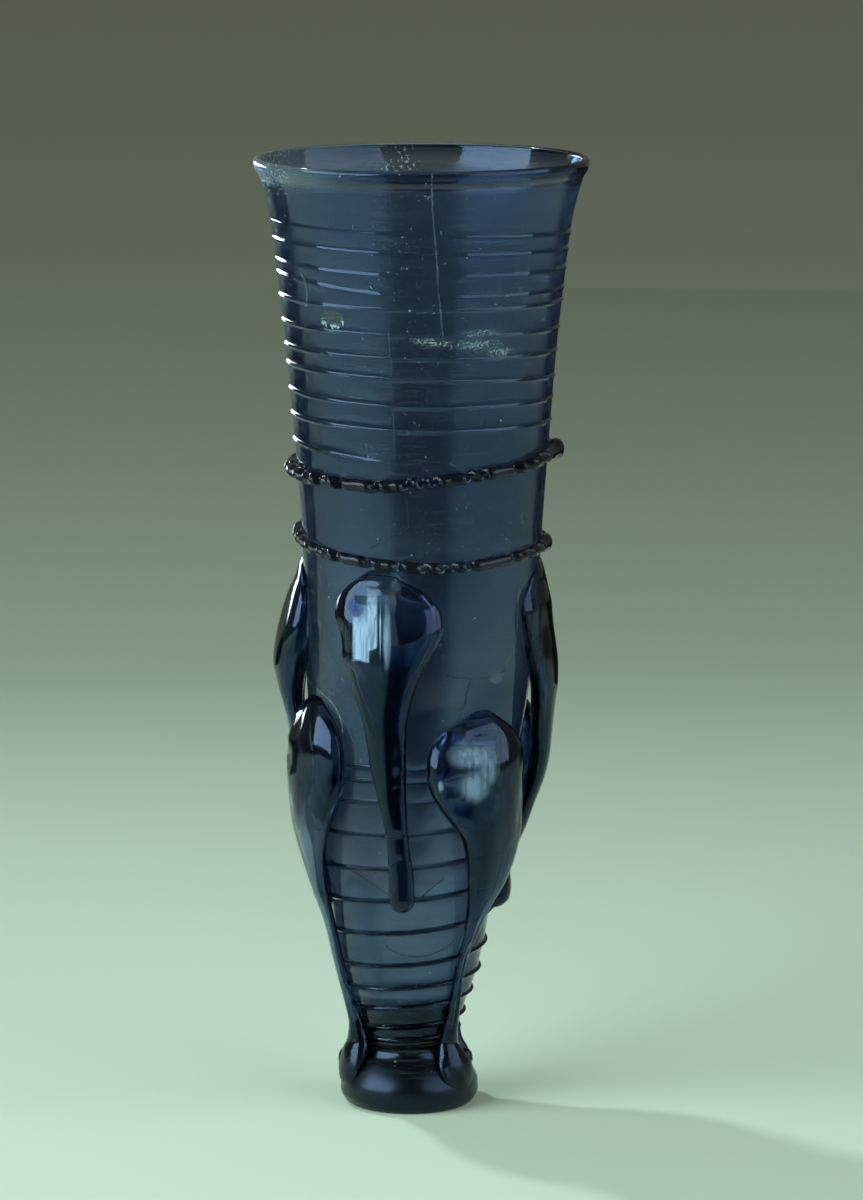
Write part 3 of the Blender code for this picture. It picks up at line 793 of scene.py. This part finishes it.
def hollow_rows(rows, hollow_share, tail_wall, thin_from):
    """A claw's hollow over a share of its length. Its glass thins to tail_wall below thin_from."""
    form = Curve(rows)
    top, length = rows[0][0], rows[0][0] - rows[-1][0]
    first, last = top - HOOD_TOP, top - hollow_share * length
    found = []
    for height in steps_between(first, last, HOLLOW_STEPS):
        left, right, crest, gap = form(height)
        down = (top - height) / length
        wall = CLAW_WALL + (tail_wall - CLAW_WALL) * held((down - thin_from) / THINNING)
        skin = math.degrees(wall * SIDE_WALL / crest)
        closing = held((down - OPEN_SHARE) / (CLOSED_SHARE - OPEN_SHARE))
        opened = -WALL(height) - OVERRUN
        behind = opened + (max(gap, DEEPEST_SUNK) + wall - opened) * closing
        taper = 1 - TAPER * max(0.0, (down - CLOSED_SHARE) / (hollow_share - CLOSED_SHARE)) ** 2
        middle, half = (left + right) / 2, max((right - left) / 2 - skin, LEAST_HALF) * taper
        space = crest - wall - OUTER(height) - behind
        outer_side = OUTER(height) + behind + max(space * (0.5 + 0.5 * taper), LEAST_SPACE)
        found.append((height, middle - half, middle + half, outer_side, behind))
    return found


hollows = [kept(claw_skin(hollow_rows(rows, *air)), name + "_air") for name, (rows, _, *air) in CLAWS.items()]
print("hollows:", len(hollows), "of", HOLLOW_STEPS + 1, "rings each")

# %% [markdown]
# ## Fused into one
# Everything was hot when it met, so the claws and coils are one body with the wall. Two Boolean steps do
# that: one adds the claws and coils, and the other takes their hollows out. The exact solver copes with
# skins that cross at shallow angles. Where two skins just touch, it leaves pairs of faces on the same
# corners, which enclose nothing and are deleted.

# %% Fuse the pieces


def gathered(name, pieces):
    """A collection that holds only the given objects."""
    group = bpy.data.collections.new(name)
    for piece in pieces:
        bpy.context.collection.objects.unlink(piece)
        group.objects.link(piece)
    bpy.context.scene.collection.children.link(group)
    return group


def fuse(piece, group, operation):
    """Adds a Boolean step that works with all of a group at once."""
    step = piece.modifiers.new(operation.lower(), "BOOLEAN")
    step.operand_type = "COLLECTION"
    step.collection = group
    step.operation = operation
    step.solver = "EXACT"


added = gathered("added", claws + coils)
removed = gathered("removed", hollows)
fuse(vessel, added, "UNION")
fuse(vessel, removed, "DIFFERENCE")
worked = vessel.evaluated_get(bpy.context.evaluated_depsgraph_get())
beaker = bmesh.new()
beaker.from_mesh(worked.to_mesh())
worked.to_mesh_clear()
for piece in [*added.objects, *removed.objects, vessel]:
    bpy.data.objects.remove(piece)
for group in (added, removed):
    bpy.data.collections.remove(group)
bmesh.ops.holes_fill(beaker, edges=[edge for edge in beaker.edges if edge.is_boundary], sides=0)
same_corners = {}
for face in beaker.faces:
    same_corners.setdefault(frozenset(corner.index for corner in face.verts), []).append(face)
twins = [face for group in same_corners.values() for face in group[: len(group) // 2 * 2]]
bmesh.ops.delete(beaker, geom=twins, context="FACES")
print("beaker faces:", len(beaker.faces), "open edges:", sum(edge.is_boundary for edge in beaker.edges))

# %% [markdown]
# ## Settled and smoothed
# The beaker leans a little and is not quite round, so every corner is moved there now. Faces are shaded
# smooth, but for the seams where a claw or coil meets the wall, which are sharp on the real glass too.
# Three maps are kept on the mesh for the material: the outside of the wall, where the wear and the old
# cracks are, the duller inside, and the coils.

# %% Finish the mesh
SEAM_ANGLE = 38
OUTSIDE_REACH = 0.8
COILS_PART = 166.0
COIL_REACH = 2.4
COIL_STAND = 0.35
outside = beaker.verts.layers.float.new("outside")
inside_wall = beaker.verts.layers.float.new("inside")
on_coil = beaker.verts.layers.float.new("coil")
for corner in beaker.verts:
    x, y, height = corner.co
    off = math.hypot(x, y) - OUTER(height)
    corner[outside] = 1.0 if abs(off) < OUTSIDE_REACH else 0.0
    coil_path = upper_coil if height > COILS_PART else lower_coil
    near_coil = abs(height - coil_path(bearing_of(corner.co))) < COIL_REACH
    corner[on_coil] = 1.0 if near_coil and off > COIL_STAND else 0.0
    corner[inside_wall] = 1.0 if FLOOR_HEIGHT - 1 < height < INSIDE_TOP and off < -OUTSIDE_REACH else 0.0
settle(beaker)
glass = kept(beaker, "beaker_glass")
glass.data.shade_smooth()
glass.data.set_sharp_from_angle(angle=math.radians(SEAM_ANGLE))
print("triangles:", sum(len(face.vertices) - 2 for face in glass.data.polygons))

# %% [markdown]
# ## Writing a shader as sums
# A material's maths reads best as maths. The class below wraps a socket, so that `1 - mask * 0.5` adds the
# Math nodes for it.

# %% Sockets that can be added and multiplied


class Value:
    """A socket of a node tree that takes part in sums."""

    def __init__(self, shader, socket):
        self.shader = shader
        self.socket = socket

    def math(self, operation, *others):
        inputs = {place: value for place, value in enumerate((self, *others))}
        return self.shader.node("Math", {"operation": operation}, inputs)["Value"]

    def __add__(self, other):
        return self.math("ADD", other)

    def __sub__(self, other):
        return self.math("SUBTRACT", other)

    def __mul__(self, other):
        return self.math("MULTIPLY", other)

    def __rsub__(self, other):
        return (self * -1) + other

    __radd__ = __add__
    __rmul__ = __mul__


class Shader:
    """The nodes of one material."""

    def __init__(self, name):
        self.material = bpy.data.materials.new(name)
        self.material.use_nodes = True
        self.tree = self.material.node_tree
        self.tree.nodes.clear()

    def node(self, kind, settings=None, inputs=None):
        """A node of a kind, its settings set first, and then the values or links of its sockets."""
        made = self.tree.nodes.new("ShaderNode" + kind)
        for name, value in (settings or {}).items():
            if name == "curve":
                points = made.mapping.curves[0].points
                points[0].location, points[-1].location = value[0], value[-1]
                for stop in value[1:-1]:
                    points.new(*stop)
                made.mapping.update()
            else:
                setattr(made, name, value)
        for name, value in (inputs or {}).items():
            if isinstance(value, Value):
                self.tree.links.new(value.socket, made.inputs[name])
            else:
                made.inputs[name].default_value = value
        found = {socket.identifier: Value(self, socket) for socket in made.outputs}
        found.update({socket.name: Value(self, socket) for socket in made.outputs if socket.enabled})
        return found

    def coat(self, inputs):
        """A Principled surface."""
        return self.node("BsdfPrincipled", None, inputs)["BSDF"]

    def mixed(self, share, first, second):
        """A share of one surface over another."""
        return self.node("MixShader", None, {"Fac": share, 1: first, 2: second})["Shader"]

    def finish(self, piece, surface, **more):
        """Ends the material with a surface and gives it to a piece."""
        self.node("OutputMaterial", None, {"Surface": surface, **more})
        piece.data.materials.append(self.material)


# %% [markdown]
# ## Blue glass
# The glass is a deep cobalt blue that lets some light through. Its surface bends and reflects light like
# any glass, and the colour lies inside it: a volume that soaks up red most, then green, and blue least.
# Thin walls then look mid blue and thick ones nearly black. The inside was never polished by the fire, so
# it is less clear than the outside.

# %% Glass
OUTER_ROUGHNESS, INNER_ROUGHNESS, FOOT_ROUGHNESS = 0.06, 0.36, 0.3
glass_shader = Shader("blue_glass")
inward = glass_shader.node("Attribute", {"attribute_name": "inside"})["Fac"]
outward = glass_shader.node("Attribute", {"attribute_name": "outside"})["Fac"]
coiled = glass_shader.node("Attribute", {"attribute_name": "coil"})["Fac"]
place = glass_shader.node("SeparateXYZ", None, {"Vector": glass_shader.node("TexCoord")["Object"]})
across, depth, up = (place[axis] * 1000 for axis in "XYZ")
facing = depth.math("LESS_THAN", 0.0)


def eased(value, none, full):
    """0 where a value is at none, 1 where it is at full, and eased between them."""
    limits = {"Value": value, "From Min": none, "From Max": full}
    return value.shader.node("MapRange", {"interpolation_type": "SMOOTHSTEP"}, limits)["Result"]


def grain(size, detail, rough=0.6):
    """Noise over the surface, whose grain is (across, deep, high) in millimetres."""
    spread = {"Vector": glass_shader.node("TexCoord")["Object"], "Scale": [1000 / side for side in size]}
    point = glass_shader.node("Mapping", None, spread)["Vector"]
    inputs = {"Vector": point, "Scale": 1.0, "Detail": detail, "Roughness": rough}
    return glass_shader.node("TexNoise", None, inputs)["Fac"]


print("glass sockets are ready")

# %% [markdown]
# ## Cracks
# The beaker was broken and mended. Its cracks show as hair lines on the front, so each is a short table of
# points seen from the front, in millimetres across and up. A Float Curve node draws a smooth line through
# them, and the line's mask is 1 where the surface is nearer to it than its half width.

# %% Cracks
PALE_CRACKS = (
    (0.2, 0.2, ((6.5, 251), (6, 248.8), (6.2, 241.2), (6.8, 233.5), (7.3, 227.1), (7.5, 220.6))),
    (0.2, 0.16, ((7.5, 221.2), (8.3, 214.2), (8.8, 208.4))),
    (0.16, 0.09, ((-5.1, 210.2), (-4.4, 199.9), (-3.9, 189.5), (-3.4, 176.5))),
    (
        0.2,
        0.28,
        ((-26.6, 119), (-26.4, 114.9), (-23.1, 113.1), (-19.7, 110.5), (-17.6, 106.7), (-17.3, 100.2)),
    ),
    (0.18, 0.16, ((29.2, 141), (28.3, 137.1), (28.1, 129.5), (25.4, 121.2))),
    (0.18, 0.2, ((-34, 224.6), (-30.3, 224.1), (-27.4, 222.8), (-26.1, 219), (-26.5, 213.7))),
)
DARK_CRACKS = (
    (0.18, 0.6, ((-0.9, 168), (-0.3, 163.5), (-0.1, 159))),
    (0.2, 0.6, ((-10.4, 152.8), (-7.3, 154.6), (-3.5, 156.9), (-0.1, 159))),
    (0.2, 0.7, ((9.9, 119.8), (16.1, 118.6), (20.2, 118.3), (25.4, 121.2))),
    (0.22, 0.8, ((16.3, 118.6), (15, 115.2), (14.3, 111.5), (12, 110.3))),
    (0.22, 0.8, ((-16.5, 67), (-14.9, 66.2), (-10.1, 63.6), (-4.9, 60.1))),
    (0.22, 0.8, ((3.4, 60), (6.3, 62.7), (9.2, 64.7))),
    (0.18, 0.6, ((-6.6, 49), (-4.2, 44.9), (2.4, 43.5), (8, 44.6), (12.2, 48))),
)
LINE_OUTER, LINE_INNER = 1.6, 0.5


def hair_line(half_width, points):
    """The mask of a line through points of (across, up) on the front of the beaker."""
    wide, high = (max(column) - min(column) for column in zip(*points))
    along, aside = (across, up) if wide > high else (up, across)
    pairs = sorted(points if wide > high else (point[::-1] for point in points))
    (first, last), (least, most) = ((min(column), max(column)) for column in zip(*pairs))
    shares = [((a - first) / (last - first), (b - least) / (most - least)) for a, b in pairs]
    share = (along - first) * (1 / (last - first))
    curve = glass_shader.node("FloatCurve", {"curve": shares}, {"Value": share})["Value"]
    gap = (aside - (curve * (most - least) + least)).math("ABSOLUTE")
    within = share.math("GREATER_THAN", 0.0) * share.math("LESS_THAN", 1.0)
    return eased(gap, half_width * LINE_OUTER, half_width * LINE_INNER) * within


def most_of(masks):
    """The strongest of several masks."""
    total = masks[0]
    for mask in masks[1:]:
        total = total.math("MAXIMUM", mask)
    return total


fine_grain = grain((0.8, 0.8, 0.8), detail=1.0)
broken = eased(fine_grain, 0.42, 0.58)
pale_cracks = most_of([hair_line(half, points) * strength for half, strength, points in PALE_CRACKS])
pale_cracks = pale_cracks * (broken * 0.8 + 0.2)
dark_cracks = most_of([hair_line(half, points) * strength for half, strength, points in DARK_CRACKS])
print("cracks:", len(PALE_CRACKS) + len(DARK_CRACKS))

# %% [markdown]
# ## Wear, old fills and painted reflections
# Long burial left a haze of fine scratches and white specks, a flaked patch below the rim, a chip, and dull
# fills where lost glass was made good. On the hoods in front, the soft boxes' reflections are painted on as
# pale streaky panes, with a painted blue glow beside them. Each is a mask: noise cut at a level gives specks
# and flakes, and soft panes and ovals say where they lie, in millimetres across and up on the front.

# %% Wear, fills and painted reflections
FLAKED = (
    (17, 206, 13, 2.4), (8, 206.6, 7.5, 1.8), (23.5, 203.8, 6.5, 2.6), (18.5, 209, 9, 1.6),
    (4.5, 207.4, 5.5, 1.4),
)
FILLS = ((-24, -4.5, 71.5, 97, -0.6), (-1, 14, 57, 84.5, 0.8), (2, 15.6, 110.6, 122.5, 0.05))
CHIP = (-19.4, 212.4)
# Painted reflections: these panes and the ovals after them are painted where the soft boxes reflect on the
# front hoods.
PAINTED_REFLECTION_PANES = ((-14.6, -9.8, 125.2, 141, -0.22), (-11, -7.7, 126.8, 146.5, 0.5))
PAINTED_REFLECTIONS = (
    (-7.2, 132.6, 0.34, 8.6, 1), (-5.5, 131.4, 1.3, 10.6, 0.6), (-10.4, 144.6, 4.6, 1.5, 0.3),
    (16.8, 99, 7.4, 3.9, 0.5), (17.2, 91.4, 4.9, 5.4, 0.54), (20.6, 95.4, 3.4, 5.4, 0.46),
    (8.3, 91.6, 1, 1.9, 0.5),
)
# Painted glow: blue ovals where light seems to gather in the thick glass of the hoods.
PAINTED_GLOWS = ((-13.8, 138.4, 2.8, 3), (12.6, 103.4, 2.2, 1.4))
PALE_SPOT = (22.8, 117.9)
MOUTH = (-4.0, 240.0, 12.0, 14.0)
CLAWS_FROM, CLAWS_FULL = 32.0, 33.5
CLAWS_ABOVE, CLAWS_BELOW = 160.0, 150.0
FLAKE, SPECK, CHIPPED, PALE, HAZE = 0.75, 0.45, 0.7, 0.09, 0.05
MOUTH_DOT, LIP_DOT, LIP_HAZE, FILL = 0.7, 0.55, 0.16, 0.24


def spot(middle, height, half_width, half_height, edge=0.7):
    """A soft oval mask on the front."""
    over = (across - middle) * (1 / half_width)
    above = (up - height) * (1 / half_height)
    return eased((over * over + above * above).math("SQRT"), 1.0, edge)


def pane(left, right, bottom, top, slope):
    """A four-sided mask on the front, whose bottom edge has a slope."""
    sides = eased(across, left, left + 0.8) * eased(across, right, right - 0.8)
    floor_line = (across - left) * slope + bottom
    return sides * eased(up - floor_line, 0.0, 0.6) * eased(up, top, top - 9.0)


flaked = most_of([spot(*row, edge=0.1) for row in FLAKED])
flake_grain = eased(fine_grain, 0.36, 0.52) * 0.7 + 0.3
scales = grain((0.7, 0.7, 0.36), detail=3.0, rough=0.8)
flakes = flake_grain * eased(scales + flaked * 0.10, 0.58, 0.66) * flaked
specks = eased(fine_grain, 0.72, 0.78)
streaks = grain((9.0, 9.0, 0.5), detail=2.0, rough=0.65)
haze = eased(streaks, 0.50, 0.80)
fills = most_of([pane(*row) for row in FILLS])
chip = spot(*CHIP, 2.9, 2.1, edge=0.8)
below_chip = spot(CHIP[0], CHIP[1] - 1.0, 3.1, 1.9, edge=0.9)
chip_edge = below_chip * (1 - spot(CHIP[0], CHIP[1] + 0.2, 2.7, 1.9, edge=0.9))
chip_edge = chip_edge * eased(fine_grain, 0.46, 0.56)
olive = chip * eased(streaks, 0.40, 0.50) * 0.5
marks = most_of([pale_cracks, flakes * FLAKE, specks * SPECK, chip_edge * CHIPPED, olive])
marks = most_of([marks, spot(*PALE_SPOT, 1.9, 1.6, edge=0.85) * PALE]) * facing
# Painted reflections of the soft boxes on the front hoods, streaked up and down and kept to the claws.
reflection_streaks = grain((0.8, 0.8, 24.0), detail=1.0)
painted_reflection = most_of([pane(*row) for row in PAINTED_REFLECTION_PANES] + [spot(*row[:4], edge=0.3) * row[4] for row in PAINTED_REFLECTIONS])
from_axis = (across * across + depth * depth).math("SQRT")
on_claws = eased(from_axis, CLAWS_FROM, CLAWS_FULL) * facing
painted_reflection = painted_reflection * (eased(reflection_streaks, 0.30, 0.62) * 0.5 + 0.5) * on_claws * eased(up, CLAWS_ABOVE, CLAWS_BELOW)
# Painted glow: blue patches on the front claws that stand in for light caught in thick glass.
painted_glow = most_of([spot(*row, edge=0.0) for row in PAINTED_GLOWS]) * on_claws * (fine_grain * 0.8 + 0.4)
dots = eased(fine_grain, 0.60, 0.66)
mouth_dots = dots * spot(*MOUTH, edge=0.3) * depth.math("GREATER_THAN", 20.0)
lip_dots = dots * eased(across, -24.0, -34.0) * eased(up, 240.0, 246.0)
lip_haze = eased(across, -10.0, -36.0) * eased(up, 244.0, 248.0) * LIP_HAZE
wear_and_painted_light = most_of([marks, haze * HAZE]) * outward
# This mask holds the real wear and also the painted reflections and the painted glow.
wear_and_painted_light = most_of([wear_and_painted_light, mouth_dots * MOUTH_DOT, lip_dots * LIP_DOT, lip_haze, painted_reflection, painted_glow])
darkened = most_of([fills * FILL, dark_cracks]) * facing * outward
print("worn places:", len(FLAKED + FILLS), "panes, sheens and glows:", len(PAINTED_REFLECTION_PANES + PAINTED_REFLECTIONS + PAINTED_GLOWS))

# %% [markdown]
# ## The finished surface
# The surface is mixed from clear glass, the dull grey of the fills and a pale powder. That powder is the
# wear, and it also carries the painted reflections on the front hoods and their painted blue glow. The
# coils are so thick that they read nearly black, so much of their surface is a glossy black. Reflections are
# tinted blue, as the glass's own colour bleeds into them. A faint grain, drawn out along the way the glass
# was turned, keeps the reflections from looking machined.

# %% Surface
turning_marks = grain((26.0, 26.0, 1.1), detail=1.0) * outward
dimples = grain((3.4, 3.4, 3.4), detail=0.0)
bumps = turning_marks * 0.6 + dimples * 0.4
relief = glass_shader.node("Bump", None, {"Height": bumps, "Strength": 0.35, "Distance": 0.00012})["Normal"]
near_foot = eased(up, 17.0, 11.0)
roughness = (
    inward * (INNER_ROUGHNESS - OUTER_ROUGHNESS)
    + near_foot * (FOOT_ROUGHNESS - OUTER_ROUGHNESS)
    + OUTER_ROUGHNESS
)
clear = glass_shader.coat(
    {
        "Base Color": (0.92, 0.94, 1.0, 1.0),
        "Roughness": roughness,
        "IOR": 1.52,
        "Transmission Weight": 1.0,
        "Specular Tint": (0.42, 0.64, 1.0, 1.0),
        "Normal": relief,
    }
)
FILL_GREY, CRACK_DARK = (0.06, 0.07, 0.10, 1.0), (0.004, 0.006, 0.010, 1.0)
PALE_POWDER, OLIVE_STAIN = (0.42, 0.56, 0.60, 1.0), (0.07, 0.085, 0.02, 1.0)
# The colours of the painted soft-box reflections and of the painted blue glow.
PAINTED_REFLECTION_BLUE, PAINTED_GLOW_BLUE = (0.34, 0.51, 0.69, 1.0), (0.02, 0.05, 0.22, 1.0)
COILED_SHARE = 0.7
JET, CREAM = (0.004, 0.006, 0.010, 1.0), (0.62, 0.60, 0.56, 1.0)


def blend(share, first, second):
    """A colour between two others."""
    return glass_shader.node("Mix", {"data_type": "RGBA"}, {"Factor": share, 6: first, 7: second})["Result"]


dark = blend(eased(dark_cracks, 0.1, 0.3), FILL_GREY, CRACK_DARK)
dull = glass_shader.coat({"Base Color": dark, "Roughness": 0.55})
# The pale colour: powder of wear, olive stain, painted reflection colour and painted blue glow.
powder_and_painted_colour = blend(eased(painted_reflection, 0.0, 0.1), blend(eased(olive, 0.1, 0.3), PALE_POWDER, OLIVE_STAIN), PAINTED_REFLECTION_BLUE)
powder_and_painted_colour = blend(eased(painted_glow, 0.02, 0.12), powder_and_painted_colour, PAINTED_GLOW_BLUE)
powder_and_painted_light = glass_shader.coat({"Base Color": powder_and_painted_colour, "Roughness": 0.8, "Specular IOR Level": 0.1})
filled = glass_shader.mixed(darkened, clear, dull)
jet = glass_shader.coat({"Base Color": JET, "Roughness": 0.07, "Specular Tint": CREAM})
deep = glass_shader.mixed(coiled * COILED_SHARE, filled, jet)
surface = glass_shader.mixed(wear_and_painted_light, deep, powder_and_painted_light)
colour = glass_shader.node("VolumeAbsorption", None, {"Color": (0.04, 0.22, 0.44, 1.0), "Density": 930.0})
glass_shader.finish(glass, surface, Volume=colour["Volume"])
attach(glass, "root")
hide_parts(NODE)
print("glass shader nodes:", len(glass_shader.tree.nodes))

# %% [markdown]
# ## Floor and light
# The beaker stands on a plain pale floor that runs back out of sight. Two big soft boxes stand to the
# camera's left and right with a gap between them, which is what draws the broad pale bands down glass and
# leaves a dark one between them. A small light high up behind the left side throws the shadow to the front
# right. A low wide one beside it is aimed upwards, so it misses the floor and only draws the bright strokes
# on the threads' left ends.

# %% Floor and lights
FLOOR_RADIUS = 8.0
LIGHT_COLOUR = (0.80, 0.95, 1.0)
floor_shape = bmesh.new()
bmesh.ops.create_circle(floor_shape, cap_ends=True, segments=96, radius=FLOOR_RADIUS)
floor = kept(floor_shape, "floor")
floor_shader = Shader("pale_floor")
floor_shader.finish(floor, floor_shader.coat({"Base Color": (0.69, 0.84, 0.64, 1.0), "Roughness": 0.9}))


def soft_box(name, bearing, distance, height, size, power, beam=180, aim=(0.0, 0.0, 0.12)):
    """A rectangular soft light at a bearing round the beaker, turned towards it, with a beam in degrees."""
    lamp = bpy.data.lights.new(name, "AREA")
    lamp.shape = "RECTANGLE"
    lamp.size, lamp.size_y = size
    lamp.energy = power
    lamp.color = LIGHT_COLOUR
    lamp.spread = math.radians(beam)
    box = bpy.data.objects.new(name, lamp)
    box.location = at(distance, bearing, height)
    box.rotation_euler = (Vector(aim) - box.location).to_track_quat("-Z", "Y").to_euler()
    box.visible_camera = False
    bpy.context.collection.objects.link(box)


soft_box("left_box", -60, 1.0, 0.5, (1.1, 0.75), 13.6)
soft_box("right_box", 64, 1.0, 0.5, (1.3, 0.85), 6.6)
soft_box("key", -134, 0.8, 1.08, (0.08, 0.08), 0.55, beam=60)
soft_box("back_box", -148, 1.2, 0.25, (0.8, 0.25), 1.0, beam=40, aim=(0.0, 0.0, 0.45))
print("lights:", len(bpy.data.lights))

# %% [markdown]
# ## Dark cards
# Glass shows what is around it. The dark band down the middle and the dark sides of the real beaker come
# from unlit places near it, so black cards lie on the floor in front and behind at both sides. Only
# reflections and refractions see them. A card's sides fade out over a few degrees where the real band has a
# soft edge. Those behind start half a metre out, so the floor seen through the lower body stays bright.

# %% Dark cards
CARD_OUTER = 1.9
CARD_LIFT = 0.001
CARD_STEPS = 24


def dark_card(name, first, last, first_fade, last_fade, inner):
    """A flat black card over the floor between two bearings, which fades at its sides."""
    sheet = bmesh.new()
    near, far = at(inner, first, CARD_LIFT), at(CARD_OUTER, first, CARD_LIFT)
    corners = [sheet.verts.new(near), sheet.verts.new(far)]
    edge = sheet.edges.new(corners)
    spun(sheet, [*corners, edge], CARD_STEPS, math.radians(last - first))
    shader = Shader(name)
    spread = shader.node("SeparateXYZ", None, {"Vector": shader.node("TexCoord")["Object"]})
    middle = math.radians((first + last) / 2)
    ahead = spread["X"] * math.sin(middle) - spread["Y"] * math.cos(middle)
    aside = spread["X"] * math.cos(middle) + spread["Y"] * math.sin(middle)
    bearing = aside.math("ARCTAN2", ahead) * math.degrees(1)
    half = (last - first) / 2
    solid = eased(bearing, -half, first_fade - half) * eased(bearing, half, half - last_fade)
    black = shader.coat({"Base Color": (0.01, 0.01, 0.01, 1.0), "Roughness": 1.0})
    card = kept(sheet, name)
    shader.finish(card, shader.mixed(solid, shader.node("BsdfTransparent")["BSDF"], black))
    card.visible_camera = False
    card.visible_diffuse = False
    card.visible_shadow = False


dark_card("front_card", -34, 38, 16, 18, inner=0.11)
dark_card("left_card", -150, -119, 10, 1, inner=0.5)
dark_card("right_card", 122, 187, 14, 9, inner=0.52)
print("cards reach out to, m:", CARD_OUTER)

# %% [markdown]
# ## The air around
# The world is an even dark warm grey, which is also what shows above the floor. The view transform is the
# plain one, which keeps the blue as it is lit. Light has to pass many skins of glass, so it may bounce often.

# %% World and view
world = bpy.data.worlds.new("studio")
world.use_nodes = True
world.node_tree.nodes["Background"].inputs["Color"].default_value = (0.124, 0.122, 0.107, 1.0)
bpy.context.scene.world = world
bpy.context.scene.view_settings.view_transform = "Standard"
bpy.context.scene.cycles.use_denoising = True
bpy.context.scene.cycles.max_bounces = 9
bpy.context.scene.cycles.use_light_tree = False
bpy.context.scene.cycles.transmission_bounces = 9
bpy.context.scene.cycles.glossy_bounces = 4
print("bounces:", bpy.context.scene.cycles.max_bounces)

# %% [markdown]
# ## The end
# The last cell only loads the json module.

# %% Finish
import json
